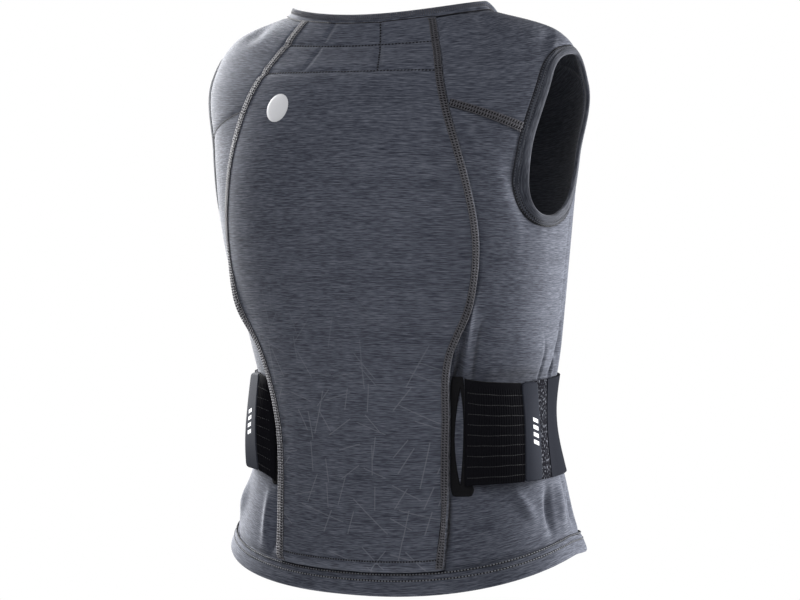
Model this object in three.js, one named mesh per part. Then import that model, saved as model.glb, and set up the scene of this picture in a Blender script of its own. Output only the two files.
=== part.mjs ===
// Body protector vest: a sleeveless jersey vest with a soft protector pad sewn into its back, bound
// neck and armholes, a turned hem, and a waist belt that grips in front of each hip.
// Millimetres, +Z up. The back faces +Y and the wearer's left is +X. Z = 0 lies at the neck sides.
// Every piece lies on one body surface, addressed by u, the way round (0 at the spine, positive to
// the wearer's left, 180 degrees at the front), and by level, the way up (0 at the hem, 1 at the neck).
import * as THREE from 'three';

// Driving dimensions
const CLOTH_WALL = 2.0;
const BINDING_WALL = 2.8;
const HEM_WALL = 2.6;
const ZIP_WALL = 2.2;
const PAD_EDGE_WALL = 2.2;
const PIECE_GAP = 0.25;
const BELT_TOP = -311;
const BELT_BOTTOM = -395;
const BELT_CLEAR = 1.8;

// Levels and angles (degrees) of the seams
const HEM_LEVEL = 0.04;
const YOKE_LEVEL = 0.834;
const NECK_LEVEL = 1.0;
const COLLAR_LEVEL = 1.06;
const PAD_ARMPIT_LEVEL = 0.4;
const ZIP_ARMPIT_LEVEL = 0.44;
const ZIP_SHOULDER_LEVEL = 0.86;
const SIDE_SEAM = 97;
const ZIP_HALF_WIDTH = 5;
const NECK_YOKE_ANGLE = 42;
const FRONT_SHOULDER_SEAM = 125;

// The armhole is four quarter ovals between its top, back, bottom and front. Its band is as wide there as
// bandU or bandLevel, and turns go round it from the front over the top.
const ARMHOLE = {
  top: { u: 87, level: 0.9165, bandLevel: 0.012 },
  back: { u: 60.8, level: 0.79, bandU: 6.6 },
  bottom: { u: 81, level: 0.657, bandLevel: 0.0195 },
  front: { u: 113, level: 0.85, bandU: 6.5 },
};
const ARMHOLE_ROUNDNESS = { frontTop: 2.4, backTop: 3.2, backBottom: 2.7, frontBottom: 1.9 };
const ARMHOLE_YOKE_TURN = 179.5;
const ARMHOLE_SIDE_TURN = 306;
const ARMHOLE_FRONT_TURN = 35;

// Cells along each kind of edge, shared by the pieces on both sides of a seam
const CELLS = {
  side: 16,
  armholeBack: 9,
  armholeTop: 11,
  armholeFront: 8,
  yoke: 6,
  sideBack: 8,
  front: 7,
  pad: 14,
};
const BINDING_CELLS = 2;

// Body rings from the hem to the top of the neck band. RING_DROP_POWER shapes the dip of each ring at
// the back and front, and ridgeTurn (degrees) sets the ring's crest back from its side.
const RING_DROP_POWER = 1.3;
const SECTIONS = table('level halfWidth back front centreX centreY sideZ backZ frontZ roundness ridgeTurn', [
  [0.00, 160, 112, 106, 4, -12, -461, -490, -474, 2.25, 0],
  [0.05, 151, 106, 104, 3, -9, -441, -466, -452, 2.25, 0],
  [0.14, 141, 96, 101, 0.5, -3, -404, -422, -412, 2.25, 0],
  [0.30, 128, 91, 97, -4, 5, -345, -345, -342, 2.20, 0],
  [0.44, 136.5, 98, 107, -4.5, 12, -285, -280, -280, 2.20, 0],
  [0.60, 150, 105, 114, 0, 19, -212, -204, -208, 2.25, 0],
  [0.78, 160, 114, 106, 0, 19, -122, -116, -140, 2.25, 0],
  [0.88, 169, 101, 90, 0, 15, -58, -68, -100, 2.15, 0],
  [0.94, 151, 82, 79, 0, 14, -25, -43, -82, 2.05, 5],
  [1.00, 100, 68, 66, 0, 14, -7, -19, -68, 2.00, 18],
  [1.06, 95, 64, 62, 0, 13, 1, -10, -59, 2.00, 18],
]);

// The back pad: half its width, where its middle lies, how far it stands proud, and how square its sides are
const PAD = table('level halfWidth middleX thickness squareness', [
  [0.04, 75.5, -4.0, 9, 8],
  [0.12, 74.3, -4.7, 13, 8],
  [0.30, 75.8, -4.2, 14, 8],
  [0.42, 85.1, -2.4, 14, 6],
  [0.52, 106.4, -0.7, 13, 4.5],
  [0.62, 115, 0, 12, 3.5],
  [0.72, 110, -2.0, 11, 3],
  [0.84, 93.5, -1.7, 8, 3],
  [0.92, 79, -1.5, 5, 3],
  [1.00, 62, -0.5, 2.5, 3],
]);

// Folds as straight runs on the body: ridges stand out, valleys have a negative depth
const FOLD_COLUMNS = ['fromU', 'fromLevel', 'toU', 'toLevel', 'depth', 'width'];
const FOLDS = [
  [-50, 0.62, -41, 0.39, 5.0, 11],
  [-45, 0.52, -38, 0.38, -4.0, 10],
  [-106, 0.54, -98, 0.38, -6.0, 11],
  [-59, 0.165, -73, 0.09, 3.5, 10],
  [-83, 0.17, -78, 0.04, -5.0, 10],
  [-92, 0.16, -87, 0.04, 4.0, 10],
  [-38, 0.17, -34, 0.05, -5.0, 10],
  [-68, 0.985, -34, 0.93, -3.0, 11],
  [50, 0.62, 42, 0.39, 4.5, 11],
  [104, 0.54, 97, 0.38, -5.0, 11],
  [32, 0.17, 29, 0.05, -6.0, 10],
  [62, 0.16, 72, 0.04, 4.5, 12],
  [75, 0.975, 44, 0.947, -3.0, 10],
  [118, 0.55, 140, 0.40, 4.0, 14],
  [-118, 0.52, -142, 0.40, 4.0, 14],
  [128, 0.15, 136, 0.05, 4.5, 13],
  [-130, 0.15, -140, 0.05, 4.5, 13],
].map((row) => Object.fromEntries(FOLD_COLUMNS.map((name, k) => [name, row[k]])));
const FOLD_MM_PER_DEGREE = 2.3;
const FOLD_MM_PER_LEVEL = 470;

// The waist belt by its length from the pad seam. The left side is pulled tighter, so that its tab sits
// further back.
const ANCHOR = { start: 0.4, end: 11.2, halfHeight: 50, centreZ: -355.5, squareness: 5 };
const ANCHOR_LOBE = { length: 9, fromShare: 0.8, overShare: 0.08 };
const ANCHOR_SLIT = { middle: 6.8, halfWidth: 3.4, halfHeight: 40 };
const ANCHOR_WALL = 1.6;
const ANCHOR_CELLS = 40;
const BELT_SPANS = {
  left: { elastic: [11.5, 25.2], tab: [25.5, 44], loop: [29, 56], front: 56.3 },
  right: { elastic: [11.5, 59], tab: [59.3, 76], loop: [63, 93.7], front: 94 },
};
const ELASTIC = { wall: 1.6, cells: 6 };
const LOOP_STRIP = { wall: 1.2, cells: 4 };
const TAB = { wall: 2.4, cells: 3 };
const TAB_LIFT = LOOP_STRIP.wall + 0.3;
const TAB_SPRING = 2;
const BELT_FRONT = { wall: 1.8, cells: 22 };
const BELT_ROWS = 7;

// The belt is too stiff to follow the hollow of the waist: it spans it and flares at its lower edge
const BELT_BOW = 5.8;
const BELT_FLARE = 2;

// Finishes
const JERSEY = { color: 0x3c4252, roughness: 0.95 };
const BINDING = { color: 0x353b4a, roughness: 0.95 };
const RUBBER = { color: 0x17181c, roughness: 0.7 };
const ELASTIC_WEB = { color: 0x121316, roughness: 0.9 };
const GRIP = { color: 0x2a2d36, roughness: 0.55 };
const HOOK_LOOP = { color: 0x23262f, roughness: 1.0 };
const ZIP = { color: 0x1b1d22, roughness: 0.7 };

const radians = THREE.MathUtils.degToRad;
const signedPower = (value, power) => Math.sign(value) * Math.abs(value) ** power;

// Tables whose columns are read smoothly between their rows
function table(names, rows) {
  return { columns: names.split(' '), rows };
}

function slopeAt(rows, i, column) {
  const rise = (k) => (rows[k + 1][column] - rows[k][column]) / (rows[k + 1][0] - rows[k][0]);
  if (i === 0) return rise(0);
  if (i === rows.length - 1) return rise(i - 1);
  const before = rows[i][0] - rows[i - 1][0];
  const after = rows[i + 1][0] - rows[i][0];
  return (before * rise(i) + after * rise(i - 1)) / (before + after);
}

function rowAt({ columns, rows }, level) {
  let i = 0;
  while (i < rows.length - 2 && level > rows[i + 1][0]) i += 1;
  const span = rows[i + 1][0] - rows[i][0];
  const t = (level - rows[i][0]) / span;
  const rise = t * t * (3 - 2 * t);
  const values = columns.map((_, c) => {
    const bend = t * (1 - t) * ((1 - t) * slopeAt(rows, i, c) - t * slopeAt(rows, i + 1, c)) * span;
    return rows[i][c] + (rows[i + 1][c] - rows[i][c]) * rise + bend;
  });
  return Object.fromEntries(columns.map((name, c) => [name, values[c]]));
}

// The body surface
function bodyPoint(u, level) {
  const ring = rowAt(SECTIONS, level);
  const across = Math.sin(radians(u));
  const along = Math.cos(radians(u));
  const power = 2 / ring.roundness;
  const depth = along > 0 ? ring.back : ring.front;
  const dip = Math.cos(radians(u + ring.ridgeTurn * across));
  const drop = (dip > 0 ? ring.backZ : ring.frontZ) - ring.sideZ;
  return new THREE.Vector3(
    ring.centreX + ring.halfWidth * signedPower(across, power),
    ring.centreY + depth * signedPower(along, power),
    ring.sideZ + drop * Math.abs(dip) ** RING_DROP_POWER,
  );
}

function bodyNormal(u, level) {
  const [turn, lift] = [0.3, 0.002];
  const round = bodyPoint(u + turn, level).sub(bodyPoint(u - turn, level));
  const up = bodyPoint(u, level + lift).sub(bodyPoint(u, level - lift));
  return up.cross(round).normalize();
}

function foldHeight(u, level) {
  const turned = u > 180 ? u - 360 : u;
  return FOLDS.reduce((height, fold) => {
    const runX = (fold.toU - fold.fromU) * FOLD_MM_PER_DEGREE;
    const runY = (fold.toLevel - fold.fromLevel) * FOLD_MM_PER_LEVEL;
    const x = (turned - fold.fromU) * FOLD_MM_PER_DEGREE;
    const y = (level - fold.fromLevel) * FOLD_MM_PER_LEVEL;
    const length = Math.hypot(runX, runY);
    const along = (x * runX + y * runY) / (length * length);
    if (along <= 0 || along >= 1) return height;
    const off = (x * runY - y * runX) / length;
    return height + fold.depth * Math.sin(Math.PI * along) ** 2 * Math.exp(-((off / fold.width) ** 2));
  }, 0);
}

function skin([u, level], offset) {
  const lift = foldHeight(u, level) + offset;
  return bodyPoint(u, level).addScaledVector(bodyNormal(u, level), lift);
}

// Edges are lists of [u, level]
function evenSteps(trace, cells) {
  const dense = Array.from({ length: 161 }, (_, k) => trace(k / 160));
  const points = dense.map(([u, level]) => bodyPoint(u, level));
  const lengths = [0];
  for (let k = 1; k < points.length; k += 1) {
    lengths.push(lengths[k - 1] + points[k].distanceTo(points[k - 1]));
  }
  const total = lengths.at(-1);
  return Array.from({ length: cells + 1 }, (_, step) => {
    const want = (total * step) / cells;
    let k = 1;
    while (k < 160 && lengths[k] < want) k += 1;
    const share = (want - lengths[k - 1]) / (lengths[k] - lengths[k - 1]);
    return blend(dense[k - 1], dense[k], share);
  });
}

const blend = (from, to, share) => from.map((value, k) => value + (to[k] - value) * share);
const straight = (from, to, cells) => evenSteps((t) => blend(from, to, t), cells);
const joined = (...edges) => edges.reduce((whole, edge) => whole.concat(edge.slice(1)));
const mirrored = (edge) => edge.map(([u, level]) => [-u, level]);
const backwards = (edge) => [...edge].reverse();

// Fills the patch between four edges that share their corners
function fill(bottom, top, left, right) {
  const [columns, rows] = [bottom.length - 1, left.length - 1];
  return left.map((_, i) => bottom.map((_, j) => {
    const s = j / columns;
    const t = i / rows;
    return [0, 1].map((k) => {
      const upright = (1 - t) * bottom[j][k] + t * top[j][k];
      const level = (1 - s) * left[i][k] + s * right[i][k];
      const low = (1 - s) * bottom[0][k] + s * bottom[columns][k];
      const high = (1 - s) * top[0][k] + s * top[columns][k];
      return upright + level - (1 - t) * low - t * high;
    });
  }));
}

// Bands between two edges with the same count
function band(from, to, cells) {
  const across = (start, end) => Array.from({ length: cells + 1 }, (_, j) => blend(start, end, j / cells));
  return from.map((start, i) => across(start, to[i]));
}

// Draws each edge of a grid in towards the next line of cells by the gap
function drawnIn(grid, isRing) {
  const shrink = (edge, next) => {
    const distance = bodyPoint(...edge).distanceTo(bodyPoint(...next));
    return blend(edge, next, PIECE_GAP / distance);
  };
  const pulled = grid.map((row) => {
    const last = row.length - 1;
    return row.map((at, j) => {
      if (j === 0) return shrink(at, row[1]);
      return j === last ? shrink(at, row[last - 1]) : at;
    });
  });
  if (isRing) return pulled;
  const last = grid.length - 1;
  return pulled.map((row, i) => row.map((at, j) => {
    if (i === 0) return shrink(at, pulled[1][j]);
    return i === last ? shrink(at, pulled[last - 1][j]) : at;
  }));
}

// A wall over a grid: outer and inner faces and a rim; a ring closes on its first row
function wall(grid, outerOffset, innerOffset, isRing = false) {
  const places = drawnIn(grid, isRing);
  const [rows, columns] = [places.length, places[0].length];
  const outer = places.flatMap((row, i) => row.map((at, j) => skin(at, outerOffset(i, j))));
  const inner = places.flatMap((row, i) => row.map((at, j) => skin(at, innerOffset(i, j))));
  return wallGeometry(outer, inner, rows, columns, isRing);
}

function wallGeometry(outer, inner, rows, columns, isRing) {
  const shift = rows * columns;
  const index = (i, j) => (i % rows) * columns + j;
  const triangles = [];
  const quad = (a, b, c, d) => triangles.push(a, b, c, a, c, d);
  const lastRow = isRing ? rows : rows - 1;
  for (let i = 0; i < lastRow; i += 1) {
    for (let j = 0; j < columns - 1; j += 1) {
      const [a, b, c, d] = [index(i, j), index(i, j + 1), index(i + 1, j + 1), index(i + 1, j)];
      quad(a, b, c, d);
      quad(d + shift, c + shift, b + shift, a + shift);
    }
    const [low, high] = [index(i, 0), index(i + 1, 0)];
    quad(low, high, high + shift, low + shift);
    const end = columns - 1;
    quad(high + end, low + end, low + end + shift, high + end + shift);
  }
  if (!isRing) {
    for (let j = 0; j < columns - 1; j += 1) {
      const top = index(rows - 1, j);
      quad(j + 1, j, j + shift, j + 1 + shift);
      quad(top, top + 1, top + 1 + shift, top + shift);
    }
  }
  const corners = [...outer, ...inner];
  const geometry = new THREE.BufferGeometry().setFromPoints(corners);
  geometry.setIndex(isInsideOut(corners, triangles) ? backwards(triangles) : triangles);
  geometry.computeVertexNormals();
  return geometry;
}

function isInsideOut(corners, triangles) {
  let volume = 0;
  for (let k = 0; k < triangles.length; k += 3) {
    const [a, b, c] = triangles.slice(k, k + 3).map((corner) => corners[corner]);
    volume += a.dot(b.clone().cross(c));
  }
  return volume < 0;
}

// Pieces
const vest = new THREE.Group();
const BOTH_SIDES = [['left', 1], ['right', -1]];

function addPiece(name, geometry, finish) {
  const material = new THREE.MeshStandardMaterial({ metalness: 0, ...finish });
  const mesh = new THREE.Mesh(geometry, material);
  mesh.name = name;
  vest.add(mesh);
}

function addCloth(name, grid, finish, thickness, isRing = false) {
  const half = thickness / 2;
  addPiece(name, wall(grid, () => half, () => -half, isRing), finish);
}

// The way round at a width from the body's middle
function angleAtWidth(x, level) {
  const ring = rowAt(SECTIONS, level);
  const share = Math.min(1, Math.abs(x) / ring.halfWidth);
  return Math.sign(x) * THREE.MathUtils.radToDeg(Math.asin(share ** (ring.roundness / 2)));
}

// Seams, each laid on the wearer's left and mirrored for the right
function padPlace(across, level) {
  const { halfWidth, middleX } = rowAt(PAD, level);
  return [angleAtWidth(middleX - rowAt(SECTIONS, level).centreX + halfWidth * across, level), level];
}

const padSeam = (level, side) => [side * padPlace(side, level)[0], level];

const zipAt = (level) => [180 - angleAtWidth(ZIP_HALF_WIDTH, level), level];
const zipRun = (from, to, cells) => evenSteps((t) => zipAt(from + (to - from) * t), cells);

function armholeAt(turn, share = 0) {
  const { top, back, bottom, front } = ARMHOLE;
  const [across, up] = [Math.cos(radians(turn)), Math.sin(radians(turn))];
  const [crest, side] = [up > 0 ? top : bottom, across > 0 ? front : back];
  const roundness = ARMHOLE_ROUNDNESS[`${across > 0 ? 'front' : 'back'}${up > 0 ? 'Top' : 'Bottom'}`];
  const edgeU = side.u - Math.sign(across) * side.bandU * share;
  const edgeLevel = crest.level - Math.sign(up) * crest.bandLevel * share;
  return [
    crest.u + (edgeU - crest.u) * Math.abs(across) ** (2 / roundness),
    side.level + (edgeLevel - side.level) * Math.abs(up) ** (2 / roundness),
  ];
}

function armholeRun(from, to, cells, share = 0) {
  return evenSteps((t) => armholeAt(from + (to - from) * t, share), cells);
}

const armholeBack = armholeRun(ARMHOLE_SIDE_TURN, ARMHOLE_YOKE_TURN, CELLS.armholeBack);
const armholeTop = armholeRun(ARMHOLE_YOKE_TURN, ARMHOLE_FRONT_TURN, CELLS.armholeTop);
const armholeFront = armholeRun(ARMHOLE_SIDE_TURN - 360, ARMHOLE_FRONT_TURN, CELLS.armholeFront);
const armpit = armholeBack[0];
const yokeBackEnd = armholeBack.at(-1);
const yokeFrontEnd = armholeFront.at(-1);
const sideFoot = [SIDE_SEAM, HEM_LEVEL];
const neckFront = [FRONT_SHOULDER_SEAM, NECK_LEVEL];

const sideSeam = straight(sideFoot, armpit, CELLS.side);
const frontYokeSeam = straight(yokeFrontEnd, neckFront, CELLS.yoke);
const hemFront = straight(sideFoot, zipAt(HEM_LEVEL), CELLS.front);
const neckYokeMiddle = [NECK_YOKE_ANGLE, NECK_LEVEL];
const neckFrontEdge = straight(neckFront, zipAt(NECK_LEVEL), CELLS.front);
const frontRows = CELLS.side + CELLS.armholeFront + CELLS.yoke;
const zipEdge = joined(
  zipRun(HEM_LEVEL, ZIP_ARMPIT_LEVEL, CELLS.side),
  zipRun(ZIP_ARMPIT_LEVEL, ZIP_SHOULDER_LEVEL, CELLS.armholeFront),
  zipRun(ZIP_SHOULDER_LEVEL, NECK_LEVEL, CELLS.yoke),
);

// The seams and patches that meet the pad on one side
function besidePad(side) {
  const run = (from, to, cells) => evenSteps((t) => padSeam(from + (to - from) * t, side), cells);
  const padLow = joined(
    run(HEM_LEVEL, PAD_ARMPIT_LEVEL, CELLS.side),
    run(PAD_ARMPIT_LEVEL, YOKE_LEVEL, CELLS.armholeBack),
  );
  const padYoke = run(YOKE_LEVEL, NECK_LEVEL, CELLS.yoke);
  const yokeSeam = straight(padYoke[0], yokeBackEnd, CELLS.sideBack);
  const hem = straight(padLow[0], sideFoot, CELLS.sideBack);
  const neck = joined(
    straight(padYoke.at(-1), neckYokeMiddle, CELLS.sideBack),
    straight(neckYokeMiddle, neckFront, CELLS.armholeTop),
  );
  return {
    padEdge: joined(padLow, padYoke),
    hem: joined(hem, hemFront),
    neck: joined(neck, neckFrontEdge),
    sideBack: fill(hem, yokeSeam, padLow, joined(sideSeam, armholeBack)),
    yoke: fill(joined(yokeSeam, armholeTop), neck, padYoke, frontYokeSeam),
  };
}

const BESIDE_PAD = { left: besidePad(1), right: besidePad(-1) };
const frontGrid = fill(hemFront, neckFrontEdge, joined(sideSeam, armholeFront, frontYokeSeam), zipEdge);

// The pad between its two seams
const padAcross = Array.from({ length: CELLS.pad + 1 }, (_, j) => 2 * j / CELLS.pad - 1);
const padGrid = BESIDE_PAD.left.padEdge.map(([, leftLevel], i) => padAcross.map((across) => {
  const [, rightLevel] = BESIDE_PAD.right.padEdge[i];
  const level = rightLevel + (leftLevel - rightLevel) * (1 + across) / 2;
  return padPlace(across, level);
}));
const padCrown = (i, j) => {
  const { thickness, squareness } = rowAt(PAD, padGrid[i][j][1]);
  const across = Math.abs(padAcross[j]);
  return PAD_EDGE_WALL / 2 + thickness * (1 - across ** squareness) ** (1 / squareness);
};
addPiece('back_pad', wall(padGrid, padCrown, () => -PAD_EDGE_WALL / 2), JERSEY);

// The armhole band runs from the panels' edge to the free edge
const armholeRound = (share) => joined(
  armholeRun(ARMHOLE_SIDE_TURN, ARMHOLE_YOKE_TURN, CELLS.armholeBack, share),
  armholeRun(ARMHOLE_YOKE_TURN, ARMHOLE_FRONT_TURN, CELLS.armholeTop, share),
  armholeRun(ARMHOLE_FRONT_TURN, ARMHOLE_SIDE_TURN - 360, CELLS.armholeFront, share),
).slice(0, -1);
const armholeGrid = band(armholeRound(0), armholeRound(1), BINDING_CELLS);

const onSide = (grid, side) => (side > 0 ? grid : grid.map(mirrored));
for (const [name, side] of BOTH_SIDES) {
  addCloth(`side_back_${name}`, onSide(BESIDE_PAD[name].sideBack, side), JERSEY, CLOTH_WALL);
  addCloth(`yoke_${name}`, onSide(BESIDE_PAD[name].yoke, side), JERSEY, CLOTH_WALL);
  addCloth(`front_${name}`, onSide(frontGrid, side), JERSEY, CLOTH_WALL);
  addCloth(`armhole_binding_${name}`, onSide(armholeGrid, side), BINDING, BINDING_WALL, true);
}

// The neck band, the hem and the closure strip
const wholeRound = (right, middle, left) => joined(backwards(mirrored(right)), middle, left);
const atLevel = (edge, level) => edge.map(([u]) => [u, level]);
const neckEdge = wholeRound(BESIDE_PAD.right.neck, padGrid.at(-1), BESIDE_PAD.left.neck);
const hemEdge = wholeRound(BESIDE_PAD.right.hem, padGrid[0], BESIDE_PAD.left.hem);
const neckGrid = band(neckEdge, atLevel(neckEdge, COLLAR_LEVEL), BINDING_CELLS);
const hemGrid = band(hemEdge, atLevel(hemEdge, 0), BINDING_CELLS);
const zipLeft = zipRun(0, COLLAR_LEVEL, frontRows);
const zipRight = zipLeft.map(([u, level]) => [360 - u, level]);
addCloth('neck_binding', neckGrid, BINDING, BINDING_WALL);
addCloth('hem_band', hemGrid, JERSEY, HEM_WALL);
addCloth('front_zip', band(zipLeft, zipRight, BINDING_CELLS), ZIP, ZIP_WALL);

// The belt is laid out by its length along the body from the pad seam and by its height
function levelAtHeight(u, z) {
  let [low, high] = [0, 0.6];
  for (let k = 0; k < 30; k += 1) {
    const middle = (low + high) / 2;
    if (bodyPoint(u, middle).z < z) low = middle;
    else high = middle;
  }
  return low;
}

function padSeamAtHeight(z, side) {
  let [low, high] = [HEM_LEVEL, 0.6];
  for (let k = 0; k < 30; k += 1) {
    const middle = (low + high) / 2;
    if (bodyPoint(...padSeam(middle, side)).z < z) low = middle;
    else high = middle;
  }
  return padSeam(low, side);
}

function beltPlace(length, z, side) {
  let [u, level] = padSeamAtHeight(z, side);
  let left = length;
  let here = bodyPoint(u, level);
  while (left > 0) {
    const level2 = levelAtHeight(u + 1, z);
    const next = bodyPoint(u + 1, level2);
    const step = next.distanceTo(here);
    const share = Math.min(1, left / step);
    [u, level] = blend([u, level], [u + 1, level2], share);
    left -= step;
    here = next;
  }
  return [u, level];
}

const beltHeights = Array.from({ length: BELT_ROWS + 1 }, (_, i) => (
  BELT_BOTTOM + ((BELT_TOP - BELT_BOTTOM) * i) / BELT_ROWS
));
const beltGrid = ([start, end], cells, side) => beltHeights.map((z) => (
  Array.from({ length: cells + 1 }, (_, j) => beltPlace(start + ((end - start) * j) / cells, z, side))
));

// The anchor is a rounded patch round a long pointed slit, with a lobe below the elastic
function anchorRing(side) {
  const { start, end, halfHeight, centreZ, squareness } = ANCHOR;
  const { length, fromShare, overShare } = ANCHOR_LOBE;
  const turns = Array.from({ length: ANCHOR_CELLS }, (_, k) => (360 * (k + 0.5)) / ANCHOR_CELLS);
  const outline = turns.map((turn) => {
    const across = (1 + signedPower(Math.cos(radians(turn)), 2 / squareness)) / 2;
    const up = signedPower(Math.sin(radians(turn)), 2 / squareness);
    const lobe = length * THREE.MathUtils.smoothstep(-up, fromShare, fromShare + overShare);
    return beltPlace(start + (end - start + lobe) * across, centreZ + halfHeight * up, side);
  });
  const slit = turns.map((turn) => {
    const up = Math.sin(radians(turn));
    const across = Math.sign(Math.cos(radians(turn))) * (1 - up * up);
    const { middle, halfWidth } = ANCHOR_SLIT;
    return beltPlace(middle + halfWidth * across, centreZ + ANCHOR_SLIT.halfHeight * up, side);
  });
  return band(outline, slit, BINDING_CELLS);
}

const flat = (offset) => () => offset;
function beltStandOff(i) {
  const up = i / BELT_ROWS;
  return 4 * BELT_BOW * up * (1 - up) + BELT_FLARE * (1 - up);
}
const beltLayer = (offset) => (i) => BELT_CLEAR + beltStandOff(i) + offset;
const elasticRise = (i, j) => BELT_CLEAR + ((TAB_LIFT + beltStandOff(i)) * j) / ELASTIC.cells;
const elasticTop = (i, j) => elasticRise(i, j) + ELASTIC.wall;
const tabRise = (i, j) => beltLayer(TAB_LIFT)(i) + TAB_SPRING * (j / TAB.cells) ** 2;
const tabTop = (i, j) => tabRise(i, j) + TAB.wall;
for (const [name, side] of BOTH_SIDES) {
  const spans = BELT_SPANS[name];
  const laid = (span, cells) => onSide(beltGrid(span, cells, side), side);
  const anchorGrid = onSide(anchorRing(side), side);
  const anchor = wall(anchorGrid, flat(BELT_CLEAR + ANCHOR_WALL), flat(BELT_CLEAR), true);
  addPiece(`belt_anchor_${name}`, anchor, RUBBER);
  const elastic = wall(laid(spans.elastic, ELASTIC.cells), elasticTop, elasticRise);
  addPiece(`belt_elastic_${name}`, elastic, ELASTIC_WEB);
  const loop = wall(laid(spans.loop, LOOP_STRIP.cells), beltLayer(LOOP_STRIP.wall), beltLayer(0));
  addPiece(`belt_loop_${name}`, loop, HOOK_LOOP);
  addPiece(`belt_tab_${name}`, wall(laid(spans.tab, TAB.cells), tabTop, tabRise), GRIP);
}

function beltFrontRow(z) {
  const [from] = beltPlace(BELT_SPANS.left.front, z, 1);
  const to = 360 - beltPlace(BELT_SPANS.right.front, z, -1)[0];
  return Array.from({ length: BELT_FRONT.cells + 1 }, (_, j) => {
    const u = from + ((to - from) * j) / BELT_FRONT.cells;
    return [u, levelAtHeight(u, z)];
  });
}

const frontBelt = wall(beltHeights.map(beltFrontRow), beltLayer(BELT_FRONT.wall), beltLayer(0));
addPiece('belt_front', frontBelt, ELASTIC_WEB);

export default vest;
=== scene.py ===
import math

import bpy
import numpy as np
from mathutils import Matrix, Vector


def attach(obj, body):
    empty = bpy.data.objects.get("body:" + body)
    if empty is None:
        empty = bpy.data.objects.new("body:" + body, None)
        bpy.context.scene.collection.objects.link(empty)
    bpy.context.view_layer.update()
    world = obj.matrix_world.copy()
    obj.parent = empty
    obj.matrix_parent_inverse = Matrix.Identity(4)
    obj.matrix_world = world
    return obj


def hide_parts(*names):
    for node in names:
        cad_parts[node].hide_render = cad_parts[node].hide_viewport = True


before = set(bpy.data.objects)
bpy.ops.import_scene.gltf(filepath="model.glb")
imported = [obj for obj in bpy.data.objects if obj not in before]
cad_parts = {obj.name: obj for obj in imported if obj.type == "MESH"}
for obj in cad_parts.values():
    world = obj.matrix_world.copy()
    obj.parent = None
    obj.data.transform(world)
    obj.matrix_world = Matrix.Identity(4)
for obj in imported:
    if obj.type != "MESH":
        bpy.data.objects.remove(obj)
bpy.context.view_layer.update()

# Side panels
# One melange jersey panel on each side of the back, about 2 mm thick. It is cut to the waist, hangs
# from the shoulder yoke and is sewn to the back pad in the middle and to the front at the side.

# The body form that every piece is cut to, in rings: level 0 is the hem, 1 the neck seam, 1.06 the collar
RING_DROP_POWER = 1.3
BODY_COLUMNS = "level half_width back front centre_x centre_y side_z back_z front_z roundness ridge_turn"
BODY_RINGS = [
    (0.00, 0.1600, 0.112, 0.106, 0.0040, -0.012, -0.461, -0.490, -0.474, 2.25, 0),
    (0.05, 0.1510, 0.106, 0.104, 0.0030, -0.009, -0.441, -0.466, -0.452, 2.25, 0),
    (0.14, 0.1410, 0.096, 0.101, 0.0005, -0.003, -0.404, -0.422, -0.412, 2.25, 0),
    (0.30, 0.1280, 0.091, 0.097, -0.0040, 0.005, -0.345, -0.345, -0.342, 2.20, 0),
    (0.44, 0.1365, 0.098, 0.107, -0.0045, 0.012, -0.285, -0.280, -0.280, 2.20, 0),
    (0.60, 0.1500, 0.105, 0.114, 0.0000, 0.019, -0.212, -0.204, -0.208, 2.25, 0),
    (0.78, 0.1600, 0.114, 0.106, 0.0000, 0.019, -0.122, -0.116, -0.140, 2.25, 0),
    (0.88, 0.1690, 0.101, 0.090, 0.0000, 0.015, -0.058, -0.068, -0.100, 2.15, 0),
    (0.94, 0.1510, 0.082, 0.079, 0.0000, 0.014, -0.025, -0.043, -0.082, 2.05, 5),
    (1.00, 0.1000, 0.068, 0.066, 0.0000, 0.014, -0.007, -0.019, -0.068, 2.00, 18),
    (1.06, 0.0950, 0.064, 0.062, 0.0000, 0.013, 0.001, -0.010, -0.059, 2.00, 18),
]

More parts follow.
